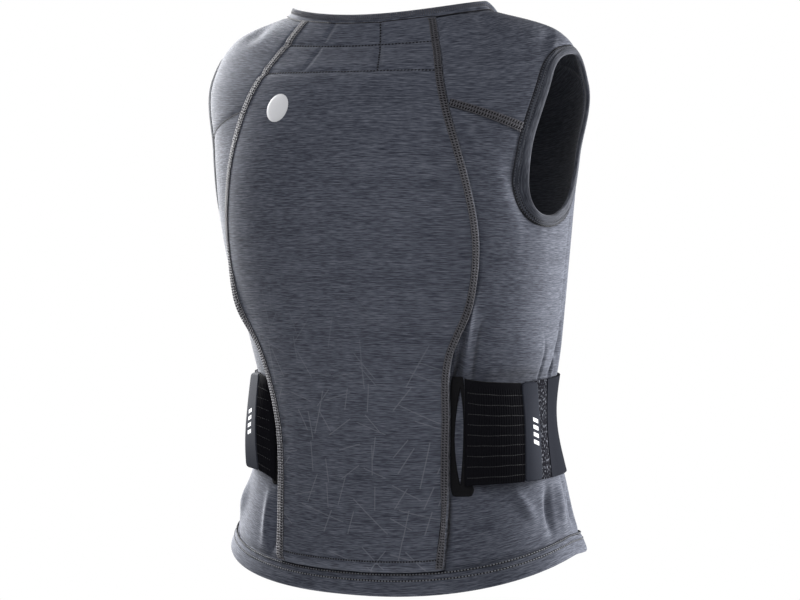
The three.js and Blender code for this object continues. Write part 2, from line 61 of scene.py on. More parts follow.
# Folds as straight runs on the body: degrees round it and levels up it, then metres. Ridges stand out
# and valleys have a negative depth.
FOLDS = [
    # from_u, from_level, to_u, to_level, depth, width
    # Above the belt, on the wearer's right: a pinch beside the pad and creases at the side
    (-47, 0.62, -38, 0.36, 0.0030, 0.0080),
    (-46, 0.56, -38.5, 0.345, 0.0045, 0.0032),
    (-42.5, 0.50, -36.5, 0.300, -0.0110, 0.0036),
    (-52, 0.53, -45, 0.330, -0.0050, 0.0060),
    (-46, 0.44, -106, 0.44, 0.0030, 0.0140),
    (-40, 0.375, -104, 0.375, -0.0050, 0.0110),
    (-106, 0.54, -98, 0.345, -0.0070, 0.0060),
    (-100, 0.50, -92, 0.345, -0.0060, 0.0048),
    (-96, 0.49, -97, 0.36, 0.0030, 0.0030),
    (-82, 0.48, -86, 0.345, -0.0016, 0.0022),
    (-54, 0.79, -74, 0.63, -0.0060, 0.0095),
    # Below the belt, on the wearer's right
    (-59, 0.170, -73, 0.085, 0.0030, 0.0060),
    (-83, 0.175, -78, 0.030, -0.0050, 0.0060),
    (-92, 0.175, -87, 0.030, 0.0038, 0.0060),
    (-105, 0.150, -99, 0.030, -0.0050, 0.0060),
    (-34, 0.180, -31, 0.030, 0.0018, 0.0050),
    (-32.5, 0.200, -31, 0.030, -0.0065, 0.0030),
    # Right shoulder
    (-70, 1.000, -34, 0.930, -0.0028, 0.0060),
    (-83, 0.950, -63, 0.905, -0.0030, 0.0050),
    (-80, 0.935, -66, 0.895, 0.0022, 0.0050),
    (-51, 0.923, -58, 0.893, 0.0015, 0.0060),
    # Left side
    (50, 0.62, 42, 0.39, 0.0045, 0.0110),
    (104, 0.54, 97, 0.38, -0.0050, 0.0090),
    (32, 0.175, 29, 0.030, -0.0060, 0.0040),
    (39, 0.175, 34, 0.030, 0.0028, 0.0050),
    (62, 0.160, 72, 0.040, 0.0045, 0.0120),
    (75, 0.975, 44, 0.947, -0.0030, 0.0060),
    # Front
    (118, 0.55, 140, 0.40, 0.0040, 0.0140),
    (-118, 0.52, -142, 0.40, 0.0040, 0.0140),
    (128, 0.15, 136, 0.05, 0.0045, 0.0130),
    (-130, 0.15, -140, 0.05, 0.0045, 0.0130),
]
METRES_PER_DEGREE = 0.0023
METRES_PER_LEVEL = 0.47


class SmoothTable:
    """Rows of named columns, read smoothly between the rows by their first column."""

    def __init__(self, columns, rows):
        self.columns = columns.split()
        self.rows = np.array(rows, float)
        steps = np.diff(self.rows[:, :1], axis=0)
        rises = np.diff(self.rows, axis=0) / steps
        inner = (steps[:-1] * rises[1:] + steps[1:] * rises[:-1]) / (steps[:-1] + steps[1:])
        self.slopes = np.concatenate([rises[:1], inner, rises[-1:]])

    def at(self, key):
        key = np.asarray(key, float)
        starts = self.rows[:, 0]
        i = np.clip(np.searchsorted(starts, key) - 1, 0, len(starts) - 2)
        span = starts[i + 1] - starts[i]
        t = ((key - starts[i]) / span)[..., None]
        bend = t * (1 - t) * ((1 - t) * self.slopes[i] - t * self.slopes[i + 1]) * span[..., None]
        values = self.rows[i] + (self.rows[i + 1] - self.rows[i]) * t * t * (3 - 2 * t) + bend
        return {name: values[..., k] for k, name in enumerate(self.columns)}


BODY = SmoothTable(BODY_COLUMNS, BODY_RINGS)


def signed_power(value, power):
    return np.sign(value) * np.abs(value) ** power


def body_point(u, level):
    ring = BODY.at(level)
    across = np.sin(np.radians(u))
    along = np.cos(np.radians(u))
    power = 2 / ring["roundness"]
    depth = np.where(along > 0, ring["back"], ring["front"])
    dip = np.cos(np.radians(u + ring["ridge_turn"] * across))
    drop = np.where(dip > 0, ring["back_z"], ring["front_z"]) - ring["side_z"]
    x = ring["centre_x"] + ring["half_width"] * signed_power(across, power)
    y = ring["centre_y"] + depth * signed_power(along, power)
    z = ring["side_z"] + drop * np.abs(dip) ** RING_DROP_POWER
    return np.stack([x, y, z], axis=-1)


def unit(vectors):
    return vectors / np.linalg.norm(vectors, axis=-1, keepdims=True)


def outward(surface, a, b, step_a=0.3, step_b=0.002):
    """The outward direction of a surface whose a runs round to the wearer's left and b upwards."""
    round_body = surface(a + step_a, b) - surface(a - step_a, b)
    up_body = surface(a, b + step_b) - surface(a, b - step_b)
    return unit(np.cross(up_body, round_body))


def fold_height(u, level):
    turned = np.where(u > 180, u - 360, u)
    height = np.zeros(np.broadcast(u, level).shape)
    for from_u, from_level, to_u, to_level, depth, width in FOLDS:
        run_x = (to_u - from_u) * METRES_PER_DEGREE
        run_y = (to_level - from_level) * METRES_PER_LEVEL
        x = (turned - from_u) * METRES_PER_DEGREE
        y = (level - from_level) * METRES_PER_LEVEL
        length = math.hypot(run_x, run_y)
        along = np.clip((x * run_x + y * run_y) / length**2, 0, 1)
        off = (x * run_y - y * run_x) / length
        height = height + depth * np.sin(np.pi * along) ** 2 * np.exp(-((off / width) ** 2))
    return height


def skin(u, level, offset):
    """A point on the folded cloth, offset outwards from its middle."""
    lift = fold_height(u, level) + offset
    return body_point(u, level) + outward(body_point, u, level) * lift[..., None]


# Seams as lists of places, each (u, level), on the wearer's left
HEM_LEVEL = 0.04
YOKE_LEVEL = 0.834
PAD_ARMPIT_LEVEL = 0.40
SIDE_SEAM_ANGLE = 97
PAD_COLUMNS = "level half_width middle_x thickness squareness"
PAD = SmoothTable(PAD_COLUMNS, [
    (0.04, 0.0755, -0.0040, 0.0090, 8.0),
    (0.12, 0.0753, -0.0057, 0.0130, 8.0),
    (0.30, 0.0770, -0.0054, 0.0140, 8.0),
    (0.42, 0.0859, -0.0032, 0.0140, 6.0),
    (0.52, 0.1064, -0.0007, 0.0130, 4.5),
    (0.62, 0.1150, 0.0000, 0.0120, 3.5),
    (0.72, 0.1100, -0.0020, 0.0110, 3.0),
    (0.84, 0.0935, -0.0017, 0.0080, 3.0),
    (0.92, 0.0790, -0.0015, 0.0050, 3.0),
    (1.00, 0.0620, -0.0005, 0.0025, 3.0),
])

# The armhole is four quarter ovals between its top, back, bottom and front. A band share of 1 gives the
# free edge of its binding, and turns go round it from the front over the top.
ARMHOLE = {
    "top": {"u": 87, "level": 0.9165, "band": 0.012},
    "back": {"u": 60.8, "level": 0.79, "band": 6.6},
    "bottom": {"u": 81, "level": 0.657, "band": 0.0195},
    "front": {"u": 113, "level": 0.85, "band": 6.5},
}
ARMHOLE_ROUNDNESS = {"front_top": 2.4, "back_top": 3.2, "back_bottom": 2.7, "front_bottom": 1.9}
ARMHOLE_YOKE_TURN = 179.5
ARMHOLE_SIDE_TURN = 306
ARMHOLE_FRONT_TURN = 35
CELLS = {
    "side": 112,
    "armhole_back": 84,
    "armhole_top": 77,
    "armhole_front": 56,
    "yoke": 42,
    "side_back": 100,
    "front": 49,
    "pad": 128,
}
TRACE_STEPS = 400


def even_steps(trace, cells):
    """Places along a seam, evenly spaced by length on the body."""
    places = trace(np.linspace(0, 1, TRACE_STEPS + 1))
    steps = np.linalg.norm(np.diff(body_point(*places.T), axis=0), axis=1)
    travelled = np.concatenate([[0], np.cumsum(steps)])
    wanted = np.linspace(0, travelled[-1], cells + 1)
    return np.stack([np.interp(wanted, travelled, column) for column in places.T], axis=1)


def straight(start, end, cells):
    start = np.array(start, float)
    end = np.array(end, float)
    return even_steps(lambda t: start + (end - start) * t[:, None], cells)


def joined(*edges):
    return np.concatenate([edges[0]] + [edge[1:] for edge in edges[1:]])


def angle_at_width(x, level):
    """The way round at a width from the body's middle."""
    ring = BODY.at(level)
    share = np.minimum(1, np.abs(x) / ring["half_width"])
    return np.sign(x) * np.degrees(np.arcsin(share ** (ring["roundness"] / 2)))


def pad_angle(s, level):
    """The way round at a share of the pad's width, from -1 to 1."""
    row = PAD.at(level)
    return angle_at_width(row["middle_x"] - BODY.at(level)["centre_x"] + row["half_width"] * s, level)


def pad_seam(level, side):
    """The pad's edge on one side, mirrored to the wearer's left where that side is the right."""
    return np.stack([side * pad_angle(side, level), level], axis=-1)


def pad_seam_run(start, end, cells, side):
    return even_steps(lambda t: pad_seam(start + (end - start) * t, side), cells)


def armhole_run(start, end, cells, band_share=0.0):
    def trace(t):
        turn = np.radians(start + (end - start) * t)
        across = np.cos(turn)
        up = np.sin(turn)
        is_front = across > 0
        is_top = up > 0
        power = 2 / np.where(
            is_top,
            np.where(is_front, ARMHOLE_ROUNDNESS["front_top"], ARMHOLE_ROUNDNESS["back_top"]),
            np.where(is_front, ARMHOLE_ROUNDNESS["front_bottom"], ARMHOLE_ROUNDNESS["back_bottom"]),
        )
        side_u = np.where(
            is_front,
            ARMHOLE["front"]["u"] - ARMHOLE["front"]["band"] * band_share,
            ARMHOLE["back"]["u"] + ARMHOLE["back"]["band"] * band_share,
        )
        crest_level = np.where(
            is_top,
            ARMHOLE["top"]["level"] - ARMHOLE["top"]["band"] * band_share,
            ARMHOLE["bottom"]["level"] + ARMHOLE["bottom"]["band"] * band_share,
        )
        crest_u = np.where(is_top, ARMHOLE["top"]["u"], ARMHOLE["bottom"]["u"])
        side_level = np.where(is_front, ARMHOLE["front"]["level"], ARMHOLE["back"]["level"])
        u = crest_u + (side_u - crest_u) * np.abs(across) ** power
        level = side_level + (crest_level - side_level) * np.abs(up) ** power
        return np.stack([u, level], axis=-1)

    return even_steps(trace, cells)


def fill(bottom, top, left, right):
    """The patch of places between four seams that share their corners."""
    s = np.linspace(0, 1, len(bottom))[None, :, None]
    t = np.linspace(0, 1, len(left))[:, None, None]
    upright = (1 - t) * bottom[None] + t * top[None]
    crosswise = (1 - s) * left[:, None] + s * right[:, None]
    low = (1 - s) * bottom[0] + s * bottom[-1]
    high = (1 - s) * top[0] + s * top[-1]
    return upright + crosswise - (1 - t) * low - t * high


def on_side(patch, side):
    return patch * np.array([side, 1])


# A wall of cloth as one closed mesh, with its own flat coordinates in metres
SHARP_ANGLE = math.radians(42)


def wall_object(name, outer, inner, weave, ring=False):
    rows, columns = outer.shape[:2]
    last = rows if ring else rows - 1
    end = columns - 1
    i, j = (part.ravel() for part in np.mgrid[0:last, 0:end])
    k = np.arange(last)
    m = np.arange(end)

    def faces(*corners):
        return np.stack([np.stack(np.broadcast_arrays(*corner), axis=-1) for corner in corners], axis=1)

    groups = [
        faces((i, j, 0), (i, j + 1, 0), (i + 1, j + 1, 0), (i + 1, j, 0)),
        faces((i + 1, j, 1), (i + 1, j + 1, 1), (i, j + 1, 1), (i, j, 1)),
        faces((k, 0, 0), (k + 1, 0, 0), (k + 1, 0, 1), (k, 0, 1)),
        faces((k + 1, end, 0), (k, end, 0), (k, end, 1), (k + 1, end, 1)),
    ]
    if not ring:
        groups.append(faces((0, m + 1, 0), (0, m, 0), (0, m, 1), (0, m + 1, 1)))
        groups.append(faces((last, m, 0), (last, m + 1, 0), (last, m + 1, 1), (last, m, 1)))
    corners = np.concatenate(groups)
    points = np.concatenate([outer.reshape(-1, 3), inner.reshape(-1, 3)])
    index = (corners[..., 2] * rows + corners[..., 0] % rows) * columns + corners[..., 1]
    a, b, c, d = (points[index[:, n]] for n in range(4))
    if np.sum(a * (np.cross(b, c) + np.cross(c, d))) < 0:
        corners = corners[:, ::-1]
        index = index[:, ::-1]
    mesh = bpy.data.meshes.new(name)
    mesh.from_pydata(points.tolist(), [], index.tolist())
    flat_places = weave[corners[..., 0], corners[..., 1]]
    mesh.uv_layers.new(name="weave").data.foreach_set("uv", flat_places.astype(np.float32).ravel())
    mesh.shade_smooth()
    mesh.set_sharp_from_angle(angle=SHARP_ANGLE)
    piece = bpy.data.objects.new(name, mesh)
    bpy.context.scene.collection.objects.link(piece)
    return piece


# Cloth dips a little where the needle pulls it down at a seam
SEAM_SINK = 0.0011
SEAM_REACH = 0.0028


def edge_distance(points):
    """How far each point of a grid lies from the nearest edge of it, along the grid's own lines."""
    near = np.full(points.shape[:2], np.inf)
    for axis in (0, 1):
        steps = np.linalg.norm(np.diff(points, axis=axis), axis=-1)
        start = np.zeros_like(np.take(steps, [0], axis=axis))
        travelled = np.concatenate([start, np.cumsum(steps, axis=axis)], axis=axis)
        total = np.take(travelled, [-1], axis=axis)
        near = np.minimum(near, np.minimum(travelled, total - travelled))
    return near


def weave_on_body(u, level):
    return np.stack([u * METRES_PER_DEGREE, level * METRES_PER_LEVEL], axis=-1)


def cloth_panel(name, patch):
    """A jersey panel on a patch of the body. The wall's second group of faces is its inner side, in
    jersey darkened as painted shade.
    """
    u, level = patch[..., 0], patch[..., 1]
    distance = edge_distance(body_point(u, level))
    sink = SEAM_SINK * np.exp(-((distance / SEAM_REACH) ** 2))
    outer = skin(u, level, JERSEY_THICKNESS / 2 - sink)
    inner = skin(u, level, -JERSEY_THICKNESS / 2 - sink)
    panel = wall_object(name, outer, inner, weave_on_body(u, level))
    panel.data.materials.append(JERSEY)
    panel.data.materials.append(JERSEY_INSIDE_SHADED)
    cells = (u.shape[0] - 1) * (u.shape[1] - 1)
    is_inner = np.zeros(len(panel.data.polygons), int)
    is_inner[cells : 2 * cells] = 1
    panel.data.polygons.foreach_set("material_index", is_inner)
    return panel


def cut_size(patch):
    """Width, length and area of the cloth that a patch is cut from, before any fold."""
    points = body_point(patch[..., 0], patch[..., 1])
    across = np.diff(points, axis=1)
    up = np.diff(points, axis=0)
    width = np.linalg.norm(across, axis=-1).sum(axis=1).max()
    length = np.linalg.norm(up, axis=-1).sum(axis=0).max()
    area = np.linalg.norm(np.cross(across[:-1], up[:, :-1]), axis=-1).sum()
    return float(width), float(length), float(area)


class Finish:
    """A value in a tree of nodes that takes part in plain sums."""

    def __init__(self, tree, socket=None):
        self.tree = tree
        self.socket = socket

    def node(self, kind, inputs, settings=None, output=0):
        made = self.tree.nodes.new(kind)
        for name, value in (settings or {}).items():
            if name == "stops":
                made.color_ramp.elements.remove(made.color_ramp.elements[1])
                made.color_ramp.elements[0].position = value[0][0]
                made.color_ramp.elements[0].color = value[0][1]
                for place, colour in value[1:]:
                    made.color_ramp.elements.new(place).color = colour
            else:
                setattr(made, name, value)
        for name, value in inputs.items():
            if isinstance(value, Finish):
                self.tree.links.new(value.socket, made.inputs[name])
            else:
                made.inputs[name].default_value = value
        return Finish(self.tree, made.outputs[output])

    def sum(self, operation, first, second=0.0):
        return self.node("ShaderNodeMath", {0: first, 1: second}, {"operation": operation})

    def __add__(self, other):
        return self.sum("ADD", self, other)

    def __sub__(self, other):
        return self.sum("SUBTRACT", self, other)

    def __rsub__(self, other):
        return self.sum("SUBTRACT", other, self)

    def __mul__(self, other):
        return self.sum("MULTIPLY", self, other)

    def __lt__(self, other):
        return self.sum("LESS_THAN", self, other)

    def __gt__(self, other):
        return self.sum("GREATER_THAN", self, other)

    __radd__ = __add__
    __rmul__ = __mul__

    def mix(self, first, second):
        """Two colours mixed by this value."""
        return self.node("ShaderNodeMix", {0: self, 6: first, 7: second}, {"data_type": "RGBA"}, 2)

    def weave(self):
        """The piece's own flat coordinates."""
        return self.node("ShaderNodeUVMap", {}, {"uv_map": "weave"})

    def place(self):
        """The piece's coordinates in space."""
        return self.node("ShaderNodeTexCoord", {}, output="Object")

    def axes(self, names):
        """The parts of these coordinates along the named axes."""
        return [self.node("ShaderNodeSeparateXYZ", {"Vector": self}, output=axis) for axis in names]

    def noise(self, scale, detail=2.0):
        """Soft noise over these coordinates, stretched by a scale for each direction."""
        stretched = self.node("ShaderNodeVectorMath", {0: self, 1: scale}, {"operation": "MULTIPLY"})
        inputs = {"Vector": stretched, "Scale": 1.0, "Detail": detail, "Roughness": 0.55}
        return self.node("ShaderNodeTexNoise", inputs, {"noise_dimensions": "3D"})

    def bump(self, strength, distance):
        """This height as a bump."""
        return self.node("ShaderNodeBump", {"Height": self, "Strength": strength, "Distance": distance})


def matt(roughness, gloss):
    return {"Roughness": roughness, "Specular IOR Level": gloss}


def new_finish(name, constants):
    material = bpy.data.materials.new(name)
    material.use_nodes = True
    shader = material.node_tree.nodes["Principled BSDF"]
    for socket, value in constants.items():
        shader.inputs[socket].default_value = value
    return material, shader, Finish(material.node_tree)


def link_to(shader, **parts):
    for socket, value in parts.items():
        value.tree.links.new(value.socket, shader.inputs[socket.replace("_", " ")])


def grained_finish(name, constants, grain, dark, pale):
    """A finish that varies finely between two shades over the piece's own flat coordinates."""
    material, shader, start = new_finish(name, constants)
    link_to(shader, Base_Color=start.weave().noise(grain).mix(dark, pale))
    return material


# Melange jersey: dark and pale yarns run as fine streaks across the cloth
JERSEY_SHADES = [
    # place among the yarns, colour
    (0.40, (0.022, 0.025, 0.036)),
    (0.50, (0.052, 0.057, 0.076)),
    (0.60, (0.100, 0.108, 0.134)),
]
JERSEY_SHEEN = {"Sheen Weight": 0.05, "Sheen Roughness": 0.5}
STREAKS = [
    # noise scale, share
    ((130, 1900, 1), 0.5),
    ((42, 1350, 1), 0.4),
    ((10, 90, 1), 0.1),
]
KNIT = {"scale": (1500, 1900, 1), "share": 0.6, "strength": 0.35, "depth": 0.0006}


def jersey(name, tone=1.0):
    """The melange cloth, with its colours multiplied by a tone."""
    material, shader, start = new_finish(name, {**matt(0.92, 0.15), **JERSEY_SHEEN})
    weave = start.weave()
    fine, long, cloud = (weave.noise(scale) * share for scale, share in STREAKS)
    streaks = fine + long + cloud
    stops = [(place, (*(tone * part for part in shade), 1)) for place, shade in JERSEY_SHADES]
    colour = streaks.node("ShaderNodeValToRGB", {"Fac": streaks}, {"stops": stops})
    loops = weave.noise(KNIT["scale"], 1.0) * KNIT["share"] + streaks * (1 - KNIT["share"])
    link_to(shader, Base_Color=colour, Normal=loops.bump(KNIT["strength"], KNIT["depth"]))
    return material, shader, weave, colour


JERSEY, *_ = jersey("melange_jersey")
# The inner faces are the same jersey at a third of its tone, painted shade for the inside of the vest.
JERSEY_INSIDE_SHADED, *_ = jersey("jersey_inner_painted_shade", tone=0.35)
JERSEY_THICKNESS = 0.002

armhole_back = armhole_run(ARMHOLE_SIDE_TURN, ARMHOLE_YOKE_TURN, CELLS["armhole_back"])
side_foot = (SIDE_SEAM_ANGLE, HEM_LEVEL)
side_seam = straight(side_foot, armhole_back[0], CELLS["side"])
SIDES = {"left": 1, "right": -1}
pad_seam_low = {}
yoke_seam = {}
hem_side_back = {}

for name, side in SIDES.items():
    pad_seam_low[name] = joined(
        pad_seam_run(HEM_LEVEL, PAD_ARMPIT_LEVEL, CELLS["side"], side),
        pad_seam_run(PAD_ARMPIT_LEVEL, YOKE_LEVEL, CELLS["armhole_back"], side),
    )
    yoke_seam[name] = straight(pad_seam_low[name][-1], armhole_back[-1], CELLS["side_back"])
    hem_side_back[name] = straight(pad_seam_low[name][0], side_foot, CELLS["side_back"])
    front_edge = joined(side_seam, armhole_back)
    patch = fill(hem_side_back[name], yoke_seam[name], pad_seam_low[name], front_edge)
    panel = cloth_panel(f"side_panel_{name}", on_side(patch, side))
    width, length, area = cut_size(patch)
    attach(panel, "root")
    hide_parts(f"side_back_{name}")

# Front panels
# The two halves of the front, of the same jersey. Each is sewn to the side panel under the arm and to
# the yoke at the shoulder, and its middle edge is sewn to the closure strip.
FRONT_SHOULDER_SEAM = 125
ZIP_HALF_WIDTH = 0.005
ZIP_ARMPIT_LEVEL = 0.44
ZIP_SHOULDER_LEVEL = 0.86
NECK_LEVEL = 1.0


def zip_run(start, end, cells):
    def trace(t):
        level = start + (end - start) * t
        return np.stack([180 - angle_at_width(ZIP_HALF_WIDTH, level), level], axis=-1)

    return even_steps(trace, cells)


armhole_front = armhole_run(ARMHOLE_SIDE_TURN - 360, ARMHOLE_FRONT_TURN, CELLS["armhole_front"])
neck_front = (FRONT_SHOULDER_SEAM, NECK_LEVEL)
zip_edge = joined(
    zip_run(HEM_LEVEL, ZIP_ARMPIT_LEVEL, CELLS["side"]),
    zip_run(ZIP_ARMPIT_LEVEL, ZIP_SHOULDER_LEVEL, CELLS["armhole_front"]),
    zip_run(ZIP_SHOULDER_LEVEL, NECK_LEVEL, CELLS["yoke"]),
)
front_yoke_seam = straight(armhole_front[-1], neck_front, CELLS["yoke"])
hem_front = straight(side_foot, zip_edge[0], CELLS["front"])
neck_front_edge = straight(neck_front, zip_edge[-1], CELLS["front"])
front_side_edge = joined(side_seam, armhole_front, front_yoke_seam)
front_patch = fill(hem_front, neck_front_edge, front_side_edge, zip_edge)

for name, side in SIDES.items():
    panel = cloth_panel(f"front_panel_{name}", on_side(front_patch, side))
    width, length, area = cut_size(front_patch)
    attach(panel, "root")
    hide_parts(f"front_{name}")

# Yokes
# The shoulder pieces, of the same jersey with its streaks running on. Each goes over one shoulder, from
# the flatlocked seam on the shoulder blade to a plain seam on the chest.
NECK_YOKE_ANGLE = 42
armhole_top = armhole_run(ARMHOLE_YOKE_TURN, ARMHOLE_FRONT_TURN, CELLS["armhole_top"])
pad_seam_yoke = {}
neck_yoke = {}

for name, side in SIDES.items():
    pad_seam_yoke[name] = pad_seam_run(YOKE_LEVEL, NECK_LEVEL, CELLS["yoke"], side)
    neck_yoke[name] = joined(
        straight(pad_seam_yoke[name][-1], (NECK_YOKE_ANGLE, NECK_LEVEL), CELLS["side_back"]),
        straight((NECK_YOKE_ANGLE, NECK_LEVEL), neck_front, CELLS["armhole_top"]),
    )
    lower_edge = joined(yoke_seam[name], armhole_top)
    patch = fill(lower_edge, neck_yoke[name], pad_seam_yoke[name], front_yoke_seam)
    panel = cloth_panel(f"shoulder_yoke_{name}", on_side(patch, side))
    width, length, area = cut_size(patch)
    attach(panel, "root")
    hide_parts(f"yoke_{name}")

# Back pad
# A moulded foam protector in a jersey pocket that fills the whole back. It is thick over the spine and
# square at the waist, thins towards the neck, and is quilted flat by rows of stitches at the top.
PAD_EDGE_WALL = 0.0022
PAD_FOOT_ROLL = 0.016
QUILT_DEPTH = 0.0015
QUILT_WIDTH = 0.0024
QUILT_LEVELS = (0.950, 0.893)
QUILT_UPRIGHT = {"foot_x": -0.033, "top_x": -0.019, "depth": 1.0}
PAD_CREASE = {"foot_x": 0.035, "top_x": 0.022, "depth": 0.7}


def upright_x(upright, level):
    share = (level - QUILT_LEVELS[1]) / (NECK_LEVEL - QUILT_LEVELS[1])
    return upright["foot_x"] + (upright["top_x"] - upright["foot_x"]) * share


def pad_skin(s, level):
    """The pad's outer face: s goes across it from -1 to 1."""
    row = PAD.at(level)
    across = np.clip(np.abs(s), 0, 1)
    foot = np.clip((level - HEM_LEVEL) / PAD_FOOT_ROLL, 0, 1)
    roll = np.sqrt(1 - (1 - foot) ** 2)
    crown = roll * row["thickness"] * (1 - across ** row["squareness"]) ** (1 / row["squareness"])
    x = row["middle_x"] + row["half_width"] * s
    quilt = np.zeros(crown.shape)
    for quilt_level in QUILT_LEVELS:
        off = (level - quilt_level) * METRES_PER_LEVEL
        quilt = np.maximum(quilt, np.exp(-((off / QUILT_WIDTH) ** 2)))
    for upright in (QUILT_UPRIGHT, PAD_CREASE):
        line = upright["depth"] * np.exp(-(((x - upright_x(upright, level)) / QUILT_WIDTH) ** 2))
        quilt = np.maximum(quilt, np.where(level > QUILT_LEVELS[1], line, 0))
    return skin(pad_angle(s, level), level, PAD_EDGE_WALL / 2 + crown - QUILT_DEPTH * quilt)


pad_edge = joined(pad_seam_low["left"], pad_seam_yoke["left"])
pad_share, pad_level = np.meshgrid(np.linspace(-1, 1, CELLS["pad"] + 1), pad_edge[:, 1])
pad_x = PAD.at(pad_level)["middle_x"] + PAD.at(pad_level)["half_width"] * pad_share
back_pad = wall_object(
    "back_protector",
    pad_skin(pad_share, pad_level),
    skin(pad_angle(pad_share, pad_level), pad_level, np.full(pad_level.shape, -PAD_EDGE_WALL / 2)),
    np.stack([pad_x, pad_level * METRES_PER_LEVEL], axis=-1),
)

# Faint pale strokes are printed on the pad's lower half, in some cells of three plain grids, at any angle
PRINT_PALE = (0.125, 0.132, 0.155, 1)
PRINT_GRIDS = [
    # cell, shift
    (0.043, 0.00),
    (0.027, 0.37),
    (0.021, 0.71),
]
PRINT_STROKE = {"half_length": 0.47, "half_width": 0.00045, "share": 0.5, "strength": 0.55, "turn": 40}
PRINT_FADE = {"full": 0.15, "none": 0.27}


def strokes(weave, cell, shift):
    cells = weave.node(
        "ShaderNodeVectorMath",
        {0: weave, 1: (1 / cell, 1 / cell, 0), 2: (shift, shift, 0)},
        {"operation": "MULTIPLY_ADD"},
    )
    corner = weave.node("ShaderNodeVectorMath", {0: cells}, {"operation": "FLOOR"})
    inside = weave.node("ShaderNodeVectorMath", {0: cells}, {"operation": "FRACTION"})
    chance = weave.node("ShaderNodeTexWhiteNoise", {"Vector": corner}, {"noise_dimensions": "2D"})
    turned = weave.node(
        "ShaderNodeVectorRotate",
        {"Vector": inside, "Center": (0.5, 0.5, 0), "Angle": chance * PRINT_STROKE["turn"]},
        {"rotation_type": "Z_AXIS"},
    )
    along, off = (part - 0.5 for part in turned.axes("XY"))
    is_long = weave.sum("ABSOLUTE", along) < PRINT_STROKE["half_length"]
    is_thin = weave.sum("ABSOLUTE", off) < PRINT_STROKE["half_width"] / cell
    return is_long * is_thin * (chance < PRINT_STROKE["share"])


PRINTED, printed_shader, printed_weave, printed_colour = jersey("printed_jersey")
(printed_up,) = printed_weave.axes("Y")
fade = printed_weave.node(
    "ShaderNodeMapRange",
    {"Value": printed_up, "From Min": PRINT_FADE["none"], "From Max": PRINT_FADE["full"]},
)
print_mask = strokes(printed_weave, *PRINT_GRIDS[0])
for grid in PRINT_GRIDS[1:]:
    print_mask = printed_weave.sum("MAXIMUM", print_mask, strokes(printed_weave, *grid))
print_share = print_mask * fade * PRINT_STROKE["strength"]
link_to(printed_shader, Base_Color=print_share.mix(printed_colour, PRINT_PALE))
back_pad.data.materials.append(PRINTED)
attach(back_pad, "root")
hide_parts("back_pad")

# Reflective spot
# A plain round spot of pale reflective film, heat-pressed on the pad below the wearer's left shoulder.
SPOT = {"x": 0.049, "level": 0.832, "radius": 0.0105, "wall": 0.0004}
SPOT_CELLS = (72, 8)
SPOT_EDGE = {"lift": 1.04, "squareness": 8}
SPOT_INNER_SHARE = 0.004
spot_turns = 2 * np.pi * np.arange(SPOT_CELLS[0]) / SPOT_CELLS[0]
spot_reaches = np.linspace(SPOT_INNER_SHARE, 1, SPOT_CELLS[1] + 1)
spot_turn, spot_reach = np.meshgrid(spot_turns, spot_reaches, indexing="ij")
spot_across = SPOT["radius"] * spot_reach * np.cos(spot_turn)
spot_up = SPOT["radius"] * spot_reach * np.sin(spot_turn)
spot_level = SPOT["level"] + spot_up / METRES_PER_LEVEL
spot_x = SPOT["x"] + spot_across
spot_share = (spot_x - PAD.at(spot_level)["middle_x"]) / PAD.at(spot_level)["half_width"]
spot_out = outward(pad_skin, spot_share, spot_level, step_a=0.01)
spot_rise = SPOT["wall"] * np.sqrt(SPOT_EDGE["lift"] - spot_reach ** SPOT_EDGE["squareness"])
spot_base = pad_skin(spot_share, spot_level)
spot_weave = np.stack([spot_across, spot_up], axis=-1)
spot = wall_object(
    "reflective_spot",
    spot_base + spot_out * spot_rise[..., None],
    spot_base - spot_out * SPOT["wall"],
    np.concatenate([spot_weave, spot_weave[:1]]),
    ring=True,
)
REFLECTIVE = grained_finish(
    "reflective_film",
    matt(0.5, 0.5),
    grain=(2500, 2500, 1),
    dark=(0.42, 0.425, 0.45, 1),
    pale=(0.62, 0.625, 0.65, 1),
)
spot.data.materials.append(REFLECTIVE)
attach(spot, "root")

# Flatlock seams
# Flat ladders of taupe thread over the seams round the pad and below the yokes. Each is one stitch laid
# again and again along a guide line, with painted shadow for the needle holes between its threads.
THREAD_SIDES = 5
THREAD_FLATNESS = 0.6
BED_FOOT = -0.8
MM = 0.001


